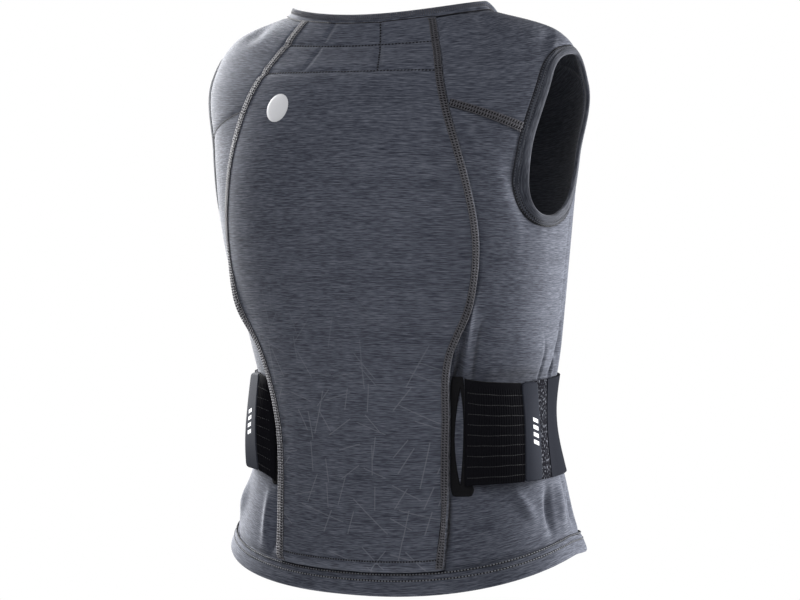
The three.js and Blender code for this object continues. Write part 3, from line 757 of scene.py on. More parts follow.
def stitch_object(name, threads, shadow_beds):
    """One stitch in millimetres, of threads and of dark beds under them, painted shadow that shows as
    needle holes.

    Threads are (points, radius) and shadow beds are (x, y, half_x, half_y, height).
    """
    points = []
    faces = []
    shades = []
    for line, radius in threads:
        line = np.array(line, float)
        along = unit(np.gradient(line, axis=0))
        side = unit(np.cross(along, (0, 0, 1)))
        lift = np.cross(side, along)
        first = len(points)
        for k in range(len(line)):
            for corner in range(THREAD_SIDES):
                turn = 2 * math.pi * corner / THREAD_SIDES
                across = side[k] * math.cos(turn) * radius
                points.append(line[k] + across + lift[k] * math.sin(turn) * radius * THREAD_FLATNESS)
                shades.append(1.0)
        for k in range(len(line) - 1):
            for corner in range(THREAD_SIDES):
                a = first + k * THREAD_SIDES + corner
                b = first + k * THREAD_SIDES + (corner + 1) % THREAD_SIDES
                faces.append((a + THREAD_SIDES, b + THREAD_SIDES, b, a))
        ends = range(first, first + THREAD_SIDES)
        faces.append(tuple(ends))
        faces.append(tuple(reversed([corner + THREAD_SIDES * (len(line) - 1) for corner in ends])))
    for x, y, half_x, half_y, height in shadow_beds:
        first = len(points)
        for z in (BED_FOOT, height):
            for dx, dy in ((-1, -1), (1, -1), (1, 1), (-1, 1)):
                points.append(np.array([x + dx * half_x, y + dy * half_y, z]))
                shades.append(0.0)
        box = [(3, 2, 1, 0), (4, 5, 6, 7), (0, 1, 5, 4), (1, 2, 6, 5), (2, 3, 7, 6), (3, 0, 4, 7)]
        faces.extend(tuple(first + corner for corner in face) for face in box)
    mesh = bpy.data.meshes.new(name)
    mesh.from_pydata((np.array(points) * MM).tolist(), [], faces)
    mesh.attributes.new("shade", "FLOAT", "POINT").data.foreach_set("value", shades)
    mesh.shade_smooth()
    stitch = bpy.data.objects.new(name, mesh)
    bpy.context.scene.collection.objects.link(stitch)
    return stitch


# The tree that sews sets the stitch at every pitch of the guide, turned along it and out of the cloth
SEWING = bpy.data.node_groups.new("stitch_run", "GeometryNodeTree")
SEWING.is_modifier = True
SEWING_INPUTS = {"Guide": "Geometry", "Stitch": "Object", "Pitch": "Float", "Thread": "Material"}
SEWING_SOCKETS = {
    name: SEWING.interface.new_socket(name, in_out="INPUT", socket_type=f"NodeSocket{kind}").identifier
    for name, kind in SEWING_INPUTS.items()
}
SEWING.interface.new_socket("Sewn", in_out="OUTPUT", socket_type="NodeSocketGeometry")
given = SEWING.nodes.new("NodeGroupInput")
guide, stitch, pitch, thread = (Finish(SEWING, given.outputs[name]) for name in SEWING_INPUTS)
curve = guide.node("GeometryNodeMeshToCurve", {"Mesh": guide})
spaced = guide.node("GeometryNodeResampleCurve", {"Curve": curve, "Length": pitch}, {"mode": "LENGTH"})
out_way, widening = (
    guide.node("GeometryNodeInputNamedAttribute", {"Name": name}, {"data_type": kind})
    for name, kind in (("outward", "FLOAT_VECTOR"), ("widen", "FLOAT"))
)
run_way = guide.node("GeometryNodeInputTangent", {})
turned = guide.node(
    "FunctionNodeAxesToRotation",
    {"Primary Axis": out_way, "Secondary Axis": run_way},
    {"primary_axis": "Z", "secondary_axis": "X"},
)
spread = guide.node("ShaderNodeCombineXYZ", {"X": 1.0, "Y": widening, "Z": 1.0})
shape = guide.node("GeometryNodeObjectInfo", {"Object": stitch}, output="Geometry")
laid = guide.node(
    "GeometryNodeInstanceOnPoints",
    {"Points": spaced, "Instance": shape, "Rotation": turned, "Scale": spread},
)
real = guide.node("GeometryNodeRealizeInstances", {"Geometry": laid})
sewn = guide.node("GeometryNodeSetMaterial", {"Geometry": real, "Material": thread})
SEWING.links.new(sewn.socket, SEWING.nodes.new("NodeGroupOutput").inputs[0])


def sew(name, path, out, stitch, pitch, thread, widen=1.0, slot="binding"):
    """A run of stitches along a path on the cloth, a pitch of millimetres apart, as one plain mesh."""
    line = bpy.data.meshes.new(name)
    line.from_pydata(path.tolist(), [(k, k + 1) for k in range(len(path) - 1)], [])
    line.attributes.new("outward", "FLOAT_VECTOR", "POINT").data.foreach_set("vector", out.ravel())
    widths = np.broadcast_to(np.asarray(widen, float), len(path))
    line.attributes.new("widen", "FLOAT", "POINT").data.foreach_set("value", widths.copy())
    run = bpy.data.objects.new(name, line)
    bpy.context.scene.collection.objects.link(run)
    sewing = run.modifiers.new("stitches", "NODES")
    sewing.node_group = SEWING
    sewing[SEWING_SOCKETS["Stitch"]] = stitch
    sewing[SEWING_SOCKETS["Pitch"]] = pitch * MM
    sewing[SEWING_SOCKETS["Thread"]] = thread
    bpy.context.view_layer.update()
    made = bpy.data.meshes.new_from_object(run.evaluated_get(bpy.context.evaluated_depsgraph_get()))
    run.modifiers.clear()
    run.data = made
    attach(run, "root")
    return run


FIBRE_GRAIN = (900, 900, 900)


def thread_finish(name, hole_shadow, dark, pale):
    """Thread that varies between two shades, with a painted shadow colour for its needle holes."""
    material, shader, start = new_finish(name, matt(0.8, 0.25))
    fibre = start.place().noise(FIBRE_GRAIN)
    shade = start.node("ShaderNodeAttribute", {}, {"attribute_name": "shade"}, "Fac")
    link_to(shader, Base_Color=shade.mix(hole_shadow, fibre.mix(dark, pale)))
    return material


LADDER_PITCH = 2.3
LADDER_RAIL = 2.6
LADDER_SEAT = {"left": 0.0060, "right": 0.0036}
LADDER_WIDEN = {"left": 1.4, "right": 1.0}
LADDER_RADIUS = {"edge": 0.5, "middle": 0.75, "rung": 0.62}
ladder_threads = [
    ([(-1.35, y, 0.25), (0, y, 0.5), (1.35, y, 0.25)], LADDER_RADIUS[part])
    for y, part in ((-LADDER_RAIL, "edge"), (0, "middle"), (LADDER_RAIL, "edge"))
]
for y in (-LADDER_RAIL, 0):
    rung = [(-0.5, y, 0.3), (0, y + LADDER_RAIL / 2, 0.55), (0.5, y + LADDER_RAIL, 0.3)]
    ladder_threads.append((rung, LADDER_RADIUS["rung"]))
# The dark bed under each ladder stitch is painted shadow in its needle holes.
LADDER = stitch_object("ladder_stitch", ladder_threads, [(0, 0, 1.3, LADDER_RAIL + 0.3, 0.25)])
# The near-black hole colour is painted shadow in the needle holes.
TAUPE_THREAD = thread_finish(
    "taupe_thread",
    hole_shadow=(0.005, 0.005, 0.007, 1),
    dark=(0.038, 0.038, 0.045, 1),
    pale=(0.072, 0.071, 0.081, 1),
)
# A dark cord along a joint, painted shadow for the groove where two pieces meet.
SEAM_SHADOW_CORD = stitch_object("seam_cord", [([(-1.4, 0, 0.1), (0, 0, 0.1), (1.4, 0, 0.1)], 0.55)], [])
CORD_PITCH = 2.4
SEAM_SHADOW_THREAD = thread_finish(
    "painted_seam_shadow",
    hole_shadow=(0.004, 0.004, 0.006, 1),
    dark=(0.004, 0.004, 0.006, 1),
    pale=(0.010, 0.010, 0.013, 1),
)
SEAM_STEPS = 400
SEAM_FOOT = HEM_LEVEL + 0.006
SEAM_TOP = {"left": 0.996, "right": 0.992}

for name, side in SIDES.items():
    level = np.linspace(SEAM_FOOT, SEAM_TOP[name], SEAM_STEPS)
    share = side * (1 - LADDER_SEAT[name] / PAD.at(level)["half_width"])
    sew(
        f"pad_flatlock_{name}",
        pad_skin(share, level),
        outward(pad_skin, share, level, step_a=0.004),
        LADDER,
        LADDER_PITCH,
        TAUPE_THREAD,
        LADDER_WIDEN[name],
    )

# The right yoke seam is a ladder that widens to the armhole; the left one is pulled shut to a dark cord
# of painted shadow
YOKE_STITCH = {
    "left": (SEAM_SHADOW_CORD, CORD_PITCH, SEAM_SHADOW_THREAD),
    "right": (LADDER, LADDER_PITCH, TAUPE_THREAD),
}
YOKE_WIDTH = {
    "left": {"narrow": 0.8, "wide": 0.8, "rise": 0.0},
    "right": {"narrow": 1.05, "wide": 1.35, "rise": 3.4},
}
YOKE_RUN = {"start": 0.005, "stop": 0.965, "num": 120}
for name, side in SIDES.items():
    share = np.linspace(**YOKE_RUN)
    width = YOKE_WIDTH[name]
    widen = width["narrow"] + (width["wide"] - width["narrow"]) * share**2
    steps = np.linspace(0, 1, len(yoke_seam[name]))
    u = np.interp(share, steps, yoke_seam[name][:, 0]) * side
    level = np.interp(share, steps, yoke_seam[name][:, 1])
    level = level + widen * width["rise"] * MM / METRES_PER_LEVEL
    sew(
        f"yoke_flatlock_{name}",
        skin(u, level, np.full(u.shape, JERSEY_THICKNESS / 2)),
        outward(body_point, u, level),
        *YOKE_STITCH[name],
        widen,
    )

# Closure strip
# The plain zip tape down the middle of the front, which the photo's side does not show.
ZIP_WALL = 0.0022
COLLAR_LEVEL = 1.06
ZIP_CELLS = (210, 12)
ZIP_RIDGE = {"height": 0.0012, "half_share": 0.16}
zip_left = zip_run(0, COLLAR_LEVEL, ZIP_CELLS[0])
zip_right = np.stack([360 - zip_left[:, 0], zip_left[:, 1]], axis=-1)
zip_share = np.linspace(0, 1, ZIP_CELLS[1] + 1)[None, :]
zip_patch = zip_left[:, None] * (1 - zip_share[..., None]) + zip_right[:, None] * zip_share[..., None]
zip_ridge = ZIP_RIDGE["height"] * np.exp(-(((zip_share - 0.5) / ZIP_RIDGE["half_share"]) ** 2))
zip_rise = ZIP_WALL / 2 + np.zeros(zip_patch.shape[:2])
closure = wall_object(
    "closure_strip",
    skin(zip_patch[..., 0], zip_patch[..., 1], zip_rise + zip_ridge),
    skin(zip_patch[..., 0], zip_patch[..., 1], -zip_rise),
    weave_on_body(zip_patch[..., 0], zip_patch[..., 1]),
)
ZIP_TAPE = grained_finish(
    "closure_tape",
    matt(0.7, 0.3),
    grain=(900, 900, 1),
    dark=(0.008, 0.009, 0.012, 1),
    pale=(0.018, 0.019, 0.024, 1),
)
closure.data.materials.append(ZIP_TAPE)
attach(closure, "root")
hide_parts("front_zip")

# Armhole bindings
# A folded band of the same knit sewn round each armhole, a little thicker than the panels. Two rows of
# needle stitches hold it, a dark cord in the seam is painted shadow in the joint, and its free edge is a
# soft fold.
BINDING_CELLS = 16
BINDING_COVER = {"edge": 0.0003, "middle": 0.0017, "squareness": 3}
BINDING_GROOVE = {"depth": 0.0009, "width": 0.07}
ARMHOLE_ROWS = (0.10, 0.34)
NEEDLE_PITCH = 2.4


def binding_rise(t, grooves=()):
    """Half the band's thickness across it, from the seam at 0 to the folded edge at 1."""
    bulge = (1 - np.abs(2 * t - 1) ** BINDING_COVER["squareness"]) ** 0.5
    groove = sum(np.exp(-(((t - place) / BINDING_GROOVE["width"]) ** 2)) for place in grooves)
    height = BINDING_COVER["middle"] - BINDING_GROOVE["depth"] * groove
    return BINDING_COVER["edge"] + height * bulge


def band_places(seam, free_edge, t):
    return seam[:, None] * (1 - t[..., None]) + free_edge[:, None] * t[..., None]


def folded_band(name, seam, free_edge, grooves=(), ring=False):
    """A folded band between a seam and a free edge, each a list of places, and its flat size."""
    t = np.linspace(0, 1, BINDING_CELLS + 1)[None, :]
    patch = band_places(seam, free_edge, t)
    u, level = patch[..., 0], patch[..., 1]
    points = body_point(u, level)
    middle = points[:, BINDING_CELLS // 2]
    steps = np.linalg.norm(np.diff(np.concatenate([middle, middle[:1]]), axis=0), axis=1)
    travelled = np.concatenate([[0], np.cumsum(steps)])[: len(middle) + int(ring)]
    width = float(np.linalg.norm(np.diff(points, axis=1), axis=-1).sum(axis=1).mean())
    piece = wall_object(
        name,
        skin(u, level, binding_rise(t, grooves) + np.zeros(u.shape)),
        skin(u, level, -binding_rise(t) + np.zeros(u.shape)),
        np.stack(np.broadcast_arrays(travelled[:, None], t * width), axis=-1),
        ring,
    )
    return piece, (width, float(travelled[-1]))


def needle_row(name, seam, free_edge, t, grooves, *sewing):
    """A row of stitches along a band at the share t of its width; sewing is stitch, pitch and thread."""
    places = band_places(seam, free_edge, np.full((1, 1), t))[:, 0]
    u, level = places[:, 0], places[:, 1]
    rise = np.full(u.shape, float(binding_rise(np.float64(t), grooves)))
    return sew(name, skin(u, level, rise), outward(body_point, u, level), *sewing)


BINDING, *_ = jersey("binding_knit", tone=0.55)
# The dark bed beside each needle stitch is painted shadow in its needle hole.
NEEDLE = stitch_object(
    "needle_stitch", [([(-0.6, 0, 0.0), (0, 0, 0.25), (0.6, 0, 0.0)], 0.38)], [(1.2, 0, 0.68, 0.6, 0.14)]
)
# The near-black hole colour is painted shadow in the needle holes.
DARK_THREAD = thread_finish(
    "dark_thread",
    hole_shadow=(0.003, 0.003, 0.005, 1),
    dark=(0.036, 0.039, 0.050, 1),
    pale=(0.070, 0.075, 0.090, 1),
)


def armhole_round(band_share):
    return joined(
        armhole_run(ARMHOLE_SIDE_TURN, ARMHOLE_YOKE_TURN, CELLS["armhole_back"], band_share),
        armhole_run(ARMHOLE_YOKE_TURN, ARMHOLE_FRONT_TURN, CELLS["armhole_top"], band_share),
        armhole_run(ARMHOLE_FRONT_TURN, ARMHOLE_SIDE_TURN - 360, CELLS["armhole_front"], band_share),
    )[:-1]


for name, side in SIDES.items():
    seam = on_side(armhole_round(0), side)
    free_edge = on_side(armhole_round(1), side)
    band, flat = folded_band(f"armhole_band_{name}", seam, free_edge, ARMHOLE_ROWS, ring=True)
    band.data.materials.append(BINDING)
    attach(band, "root")
    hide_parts(f"armhole_binding_{name}")
    sewn_rows = [(t, NEEDLE, NEEDLE_PITCH, DARK_THREAD) for t in ARMHOLE_ROWS]
    # The cord at the seam is painted shadow in the joint.
    sewn_rows.append((0, SEAM_SHADOW_CORD, CORD_PITCH, SEAM_SHADOW_THREAD))
    rows = [
        needle_row(f"armhole_row_{name}_{k}", seam, free_edge, t, ARMHOLE_ROWS, *sewing)
        for k, (t, *sewing) in enumerate(sewn_rows)
    ]

# Neck binding
# The same folded band round the neck, from one side of the closure to the other. Short threads cross
# it side by side, and the joint below it is a dark cord of painted shadow.
NECK_ROW = 0.46
NECK_PITCH = 1.9
NECK_JOINT_DROP = 0.001
NECK_KNIT, *_ = jersey("neck_knit", tone=0.9)
NECK_RIB = stitch_object("neck_rib", [([(0, -2.7, 0.0), (0, 0, 0.3), (0, 2.7, 0.0)], 0.4)], [])


def whole_round(right, middle, left):
    return joined(on_side(right, -1)[::-1], middle, left)


pad_top = np.stack([pad_angle(pad_share[-1], pad_level[-1]), pad_level[-1]], axis=-1)
neck_half = {name: joined(neck_yoke[name], neck_front_edge) for name in SIDES}
neck_seam = whole_round(neck_half["right"], pad_top, neck_half["left"])
neck_free_edge = np.stack([neck_seam[:, 0], np.full(len(neck_seam), COLLAR_LEVEL)], axis=-1)
neck_band, flat = folded_band("neck_band", neck_seam, neck_free_edge)
neck_band.data.materials.append(NECK_KNIT)
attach(neck_band, "root")
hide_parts("neck_binding")
neck_sewing = (NECK_RIB, NECK_PITCH, TAUPE_THREAD)
neck_rows = [needle_row("neck_row", neck_seam, neck_free_edge, NECK_ROW, (), *neck_sewing)]
joint_level = np.full(len(pad_share[-1]), NECK_LEVEL - NECK_JOINT_DROP)
joints = {"pad": (pad_skin(pad_share[-1], joint_level), pad_angle(pad_share[-1], joint_level))}
for name, side in SIDES.items():
    u = side * neck_yoke[name][:, 0]
    joints[name] = (skin(u, np.full(len(u), NECK_LEVEL), np.full(len(u), JERSEY_THICKNESS / 2)), u)
# Dark cords along the neck joints are painted shadow.
for name, (path, u) in joints.items():
    out = outward(body_point, u, np.full(len(u), NECK_LEVEL))
    neck_rows.append(sew(f"neck_joint_{name}", path, out, SEAM_SHADOW_CORD, CORD_PITCH, SEAM_SHADOW_THREAD))

# Hem band
# The panels' lower edge turned up once and coverstitched, so that it is double and hangs a little stiff.
HEM_ROW = 0.2
COVER_PITCH = 2.7
COVER_HALF = 2.6
cover_lines = (-COVER_HALF, COVER_HALF)
cover_threads = [([(-0.7, y, 0.2), (0, y, 0.5), (0.7, y, 0.2)], 0.5) for y in cover_lines]
# The dark beds beside the cover threads are painted shadow in their needle holes.
cover_hole_shadows = [(1.35, y, 0.62, 0.75, 0.35) for y in cover_lines]
COVER = stitch_object("cover_stitch", cover_threads, cover_hole_shadows)
# The near-black hole colour is painted shadow in the needle holes.
PALE_THREAD = thread_finish(
    "pale_thread",
    hole_shadow=(0.004, 0.004, 0.006, 1),
    dark=(0.105, 0.110, 0.125, 1),
    pale=(0.180, 0.186, 0.205, 1),
)
pad_bottom = np.stack([pad_angle(pad_share[0], pad_level[0]), pad_level[0]], axis=-1)
hem_half = {name: joined(hem_side_back[name], hem_front) for name in SIDES}
hem_seam = whole_round(hem_half["right"], pad_bottom, hem_half["left"])
hem_free_edge = np.stack([hem_seam[:, 0], np.zeros(len(hem_seam))], axis=-1)
hem_band, flat = folded_band("hem_turn_up", hem_seam, hem_free_edge)
hem_band.data.materials.append(JERSEY)
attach(hem_band, "root")
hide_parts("hem_band")
hem_sewing = (COVER, COVER_PITCH, PALE_THREAD)
hem_row = needle_row("hem_coverstitch", hem_seam, hem_free_edge, HEM_ROW, (), *hem_sewing)

# Quilting rows
# Single rows of dark needle stitches that hold the pad's thin top flat, and one finer row near its foot.
QUILT_PITCH = 2.9
# The dark bed beside each quilt stitch is painted shadow in its needle hole.
QUILT = stitch_object(
    "quilt_stitch", [([(-0.6, 0, 0.0), (0, 0, 0.4), (0.6, 0, 0.0)], 0.45)], [(1.45, 0, 0.8, 0.85, 0.2)]
)
QUILT_REACH = 0.93
FOOT_ROW_LEVEL = 0.060
QUILT_STEPS = 160
QUILT_TOP_GAP = 0.004
across = np.linspace(-QUILT_REACH, QUILT_REACH, QUILT_STEPS)
upright_level = np.linspace(QUILT_LEVELS[1], NECK_LEVEL - QUILT_TOP_GAP, QUILT_STEPS)
upright_row = PAD.at(upright_level)
upright_way = upright_x(QUILT_UPRIGHT, upright_level) - upright_row["middle_x"]
upright_share = upright_way / upright_row["half_width"]
quilting = (QUILT, QUILT_PITCH)
quilt_rows = {
    f"quilt_row_{k}": (across, np.full(QUILT_STEPS, level), quilting)
    for k, level in enumerate(QUILT_LEVELS)
}
quilt_rows["quilt_row_upright"] = (upright_share, upright_level, quilting)
quilt_rows["pad_foot_row"] = (across, np.full(QUILT_STEPS, FOOT_ROW_LEVEL), (NEEDLE, NEEDLE_PITCH))
for name, (share, level, sewing) in quilt_rows.items():
    out = outward(pad_skin, share, level, step_a=0.01, step_b=0.001)
    sew(name, pad_skin(share, level), out, *sewing, DARK_THREAD)

# Belt anchors
# A bonded black film patch beside each pad seam. A long pointed slit in it shows the jersey, the belt's
# elastic is welded along its front edge, and its foot runs on below the elastic as a small lobe.
BELT_CLEAR = 0.0018
BELT_TOP = -0.311
BELT_BOTTOM = -0.395
BELT_STEPS = 150
ANCHOR = {"start": 0.0004, "end": 0.0114, "half_height": 0.050, "centre_z": -0.3555, "squareness": 8}
ANCHOR_LOBE = {"length": 0.009, "from_share": 0.8, "over_share": 0.08}
ANCHOR_SLIT = {"middle": 0.0084, "back": 0.0046, "front": 0.0023, "half_height": 0.040}
ANCHOR_WALL = 0.0012
ANCHOR_EDGE_SQUARENESS = 6
ANCHOR_CELLS = (240, 12)
HALVINGS = 30
BELT_SEARCH_TOP = 0.6


def halved(low, high, is_low):
    """The place between two bounds where a rising test turns, found by halving."""
    for _ in range(HALVINGS):
        middle = (low + high) / 2
        below = is_low(middle)
        low = np.where(below, middle, low)
        high = np.where(below, high, middle)
    return low


def level_at_height(u, z):
    shape = np.broadcast(u, z).shape
    top = np.full(shape, BELT_SEARCH_TOP)
    return halved(np.zeros(shape), top, lambda level: body_point(u, level)[..., 2] < z)


def belt_skin(u, level, offset):
    """A point off the body by an offset: the belt is too stiff to follow the small folds under it."""
    return body_point(u, level) + outward(body_point, u, level) * offset[..., None]


def belt_places(lengths, heights, side):
    """Places at lengths forward from one side's pad seam, row by row, mirrored to the wearer's left."""
    heights = np.asarray(heights, float)

    def is_below(level):
        return body_point(*pad_seam(level, side).T)[..., 2] < heights

    low, high = (np.full(heights.shape, level) for level in (HEM_LEVEL, BELT_SEARCH_TOP))
    seam_level = halved(low, high, is_below)
    u = pad_seam(seam_level, side)[:, :1] + np.arange(BELT_STEPS)[None, :]
    level = level_at_height(u, heights[:, None])
    steps = np.linalg.norm(np.diff(body_point(u, level), axis=1), axis=-1)
    travelled = np.concatenate([np.zeros((len(heights), 1)), np.cumsum(steps, axis=1)], axis=1)
    wanted = np.broadcast_to(lengths, (len(heights), np.shape(lengths)[-1]))
    found = np.stack([np.interp(w, row, angles) for w, row, angles in zip(wanted, travelled, u)])
    return np.stack([found, level_at_height(found, heights[:, None])], axis=-1)


anchor_turn = np.radians(360 * (np.arange(ANCHOR_CELLS[0]) + 0.5) / ANCHOR_CELLS[0])
anchor_across = (1 + signed_power(np.cos(anchor_turn), 2 / ANCHOR["squareness"])) / 2
anchor_up = signed_power(np.sin(anchor_turn), 2 / ANCHOR["squareness"])
lobe_share = np.clip((-anchor_up - ANCHOR_LOBE["from_share"]) / ANCHOR_LOBE["over_share"], 0, 1)
lobe = ANCHOR_LOBE["length"] * lobe_share**2 * (3 - 2 * lobe_share)
outline_lengths = ANCHOR["start"] + (ANCHOR["end"] - ANCHOR["start"] + lobe) * anchor_across
outline_heights = ANCHOR["centre_z"] + ANCHOR["half_height"] * anchor_up
slit_across = np.sign(np.cos(anchor_turn)) * np.cos(anchor_turn) ** 2
slit_half = np.where(slit_across > 0, ANCHOR_SLIT["front"], ANCHOR_SLIT["back"])
slit_lengths = ANCHOR_SLIT["middle"] + slit_half * slit_across
slit_heights = ANCHOR["centre_z"] + ANCHOR_SLIT["half_height"] * np.sin(anchor_turn)
anchor_share = np.linspace(0, 1, ANCHOR_CELLS[1] + 1)[None, :]

FILM_DARK = (0.004, 0.004, 0.005, 1)
FILM_PALE = (0.009, 0.009, 0.010, 1)
FILM, film_shader, film_start = new_finish("bonded_film", matt(0.8, 0.04))
link_to(film_shader, Base_Color=film_start.place().noise((700, 700, 700)).mix(FILM_DARK, FILM_PALE))

for name, side in SIDES.items():
    outline = belt_places(outline_lengths[:, None], outline_heights, side)[:, 0]
    slit = belt_places(slit_lengths[:, None], slit_heights, side)[:, 0]
    places = on_side(band_places(outline, slit, anchor_share), side)
    u, level = places[..., 0], places[..., 1]
    weave = weave_on_body(u, level)
    rise = np.full(u.shape, BELT_CLEAR)
    rounded = (1 - np.abs(2 * anchor_share - 1) ** ANCHOR_EDGE_SQUARENESS) ** 0.5
    anchor = wall_object(
        f"anchor_film_{name}",
        belt_skin(u, level, rise + ANCHOR_WALL * rounded),
        belt_skin(u, level, rise),
        np.concatenate([weave, weave[:1]]),
        ring=True,
    )
    anchor.data.materials.append(FILM)
    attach(anchor, "root")
    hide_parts(f"belt_anchor_{name}")

# Belt elastics
# Wide woven black elastic, welded to the anchor and sewn under the grip tab. Fine ribs cross it and
# pale rubber threads run along it. It is too stiff to follow the hollow of the waist, so it spans it.
ELASTIC = {"left": (0.0115, 0.0254), "right": (0.0115, 0.0577)}
ELASTIC_WALL = 0.0016
ELASTIC_ROWS = 120
ELASTIC_RIB = {"pitch": 0.0019, "height": 0.00013, "cells": 5, "selvedge": 0.005}
ELASTIC_SLANT = {"left": {"top": -0.006, "foot": -0.008}, "right": {"top": 0.0045, "foot": -0.0015}}
RUBBER_ROWS = {"count": 9, "foot": 0.006, "top": 0.010, "end": 0.003}
RUBBER_WAVE = {"height": 0.0002, "turns": 260, "shift": 2.4}
TAB_LIFT = 0.0015
BELT_HOLD = {
    "left": {"top": 0.0, "foot": 0.0069, "bow": 0.0066},
    "right": {"top": 0.0023, "foot": 0.0084, "bow": 0.0015},
}
belt_heights = np.linspace(BELT_BOTTOM, BELT_TOP, ELASTIC_ROWS + 1)
rubber_foot = BELT_BOTTOM + RUBBER_ROWS["foot"]
rubber_heights = np.linspace(rubber_foot, BELT_TOP - RUBBER_ROWS["top"], RUBBER_ROWS["count"])


def flat_grid(lengths, heights):
    """Flat coordinates with the lengths along each row and one height for each row."""
    return np.stack(np.broadcast_arrays(lengths, heights[:, None]), axis=-1)


def up_belt(heights):
    return (heights - BELT_BOTTOM) / (BELT_TOP - BELT_BOTTOM)


def belt_stand_off(heights, name):
    """How far one side's belt stands off the body at each height."""
    hold = BELT_HOLD[name]
    up = up_belt(heights)
    return hold["top"] * up + hold["foot"] * (1 - up) + 4 * hold["bow"] * up * (1 - up)


def elastic_slant(heights, name):
    """How far one side's elastic rises at its anchor, where it fans out."""
    slant = ELASTIC_SLANT[name]
    up = up_belt(heights)
    return slant["top"] * up + slant["foot"] * (1 - up)


ELASTIC_WEB = grained_finish(
    "elastic_web",
    {**matt(0.9, 0.04), "Sheen Weight": 0.04, "Sheen Roughness": 0.3},
    grain=(1100, 500, 1),
    dark=(0.002, 0.002, 0.003, 1),
    pale=(0.006, 0.006, 0.008, 1),
)
RUBBER_FLOAT = stitch_object("rubber_float", [([(-0.8, 0, 0), (0, 0, 0.25), (0.8, 0, 0)], 0.36)], [])
RUBBER_THREAD = thread_finish(
    "rubber_thread",
    hole_shadow=(0.010, 0.010, 0.012, 1),
    dark=(0.010, 0.010, 0.012, 1),
    pale=(0.030, 0.030, 0.032, 1),
)

for name, side in SIDES.items():
    start, end = ELASTIC[name]
    ribs = (end - start) / ELASTIC_RIB["pitch"]
    lengths = np.linspace(start, end, round(ribs * ELASTIC_RIB["cells"]) + 1)
    rib = ELASTIC_RIB["height"] * np.cos(2 * np.pi * lengths / ELASTIC_RIB["pitch"])
    span_share = np.sqrt((lengths - start) / (end - start))
    rows = belt_places(lengths, belt_heights, side)[..., 0]
    slanted = belt_heights[:, None] + elastic_slant(belt_heights, name)[:, None] * (1 - span_share)
    u = side * rows
    level = level_at_height(rows, slanted)
    rise = BELT_CLEAR + (TAB_LIFT + belt_stand_off(belt_heights, name)[:, None]) * span_share
    is_ribbed = BELT_TOP - belt_heights[:, None] > ELASTIC_RIB["selvedge"]
    elastic = wall_object(
        f"elastic_{name}",
        belt_skin(u, level, rise + ELASTIC_WALL + rib * is_ribbed),
        belt_skin(u, level, rise),
        flat_grid(lengths, belt_heights),
    )
    elastic.data.materials.append(ELASTIC_WEB)
    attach(elastic, "root")
    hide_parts(f"belt_elastic_{name}")
    is_threaded = lengths > start + RUBBER_ROWS["end"]
    for k, height in enumerate(rubber_heights):
        wave = np.sin(lengths * RUBBER_WAVE["turns"] + RUBBER_WAVE["shift"] * k)
        heights = height + RUBBER_WAVE["height"] * wave
        row = belt_places(lengths, [height], side)[0, :, 0]
        u = side * row
        level = level_at_height(row, heights + elastic_slant(height, name) * (1 - span_share))
        lift = BELT_CLEAR + (TAB_LIFT + belt_stand_off(heights, name)) * span_share + ELASTIC_WALL + rib
        threads = sew(
            f"rubber_row_{name}_{k}",
            belt_skin(u, level, lift)[is_threaded],
            outward(body_point, u, level)[is_threaded],
            RUBBER_FLOAT,
            ELASTIC_RIB["pitch"] / MM,
            RUBBER_THREAD,
            slot="elastic",
        )

# Loop strips
# The rough loop side of the belt's grip fastening, sewn to the end of the front belt. The tab presses
# on it and leaves a strip of its pile bare, which falls from the tab to the body.
LOOP_STRIP = {"left": (0.029, 0.056), "right": (0.063, 0.0937)}
LOOP_FALL = {"left": 0.044, "right": 0.060}
LOOP_FALL_LENGTH = 0.049
LOOP_WALL = 0.0012
LOOP_CELLS = (84, 30)
loop_heights = np.linspace(BELT_BOTTOM, BELT_TOP, LOOP_CELLS[0] + 1)
PILE_SHADES = [
    # place among the loops, colour
    (0.50, (0.003, 0.003, 0.005, 1)),
    (0.57, (0.012, 0.013, 0.018, 1)),
    (0.66, (0.100, 0.105, 0.120, 1)),
]
LOOP_PILE, pile_shader, pile_start = new_finish("loop_pile", matt(0.95, 0.03))
pile_loops = pile_start.weave().noise((520, 380, 1))
pile_colour = pile_loops.node("ShaderNodeValToRGB", {"Fac": pile_loops}, {"stops": PILE_SHADES})
link_to(pile_shader, Base_Color=pile_colour, Normal=pile_loops.bump(0.6, 0.001))


def belt_fall(lengths, name):
    """How much of its stand-off the belt has lost at lengths from the pad seam, from 0 to 1."""
    share = np.clip((lengths - LOOP_FALL[name]) / LOOP_FALL_LENGTH, 0, 1)
    return share**2 * (3 - 2 * share)


for name, side in SIDES.items():
    lengths = np.linspace(*LOOP_STRIP[name], LOOP_CELLS[1] + 1)
    places = on_side(belt_places(lengths, loop_heights, side), side)
    u, level = places[..., 0], places[..., 1]
    rise = BELT_CLEAR + belt_stand_off(loop_heights, name)[:, None] * (1 - belt_fall(lengths, name))
    strip = wall_object(
        f"loop_strip_{name}",
        belt_skin(u, level, rise + LOOP_WALL),
        belt_skin(u, level, rise),
        flat_grid(lengths, loop_heights),
    )
    strip.data.materials.append(LOOP_PILE)
    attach(strip, "root")
    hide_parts(f"belt_loop_{name}")

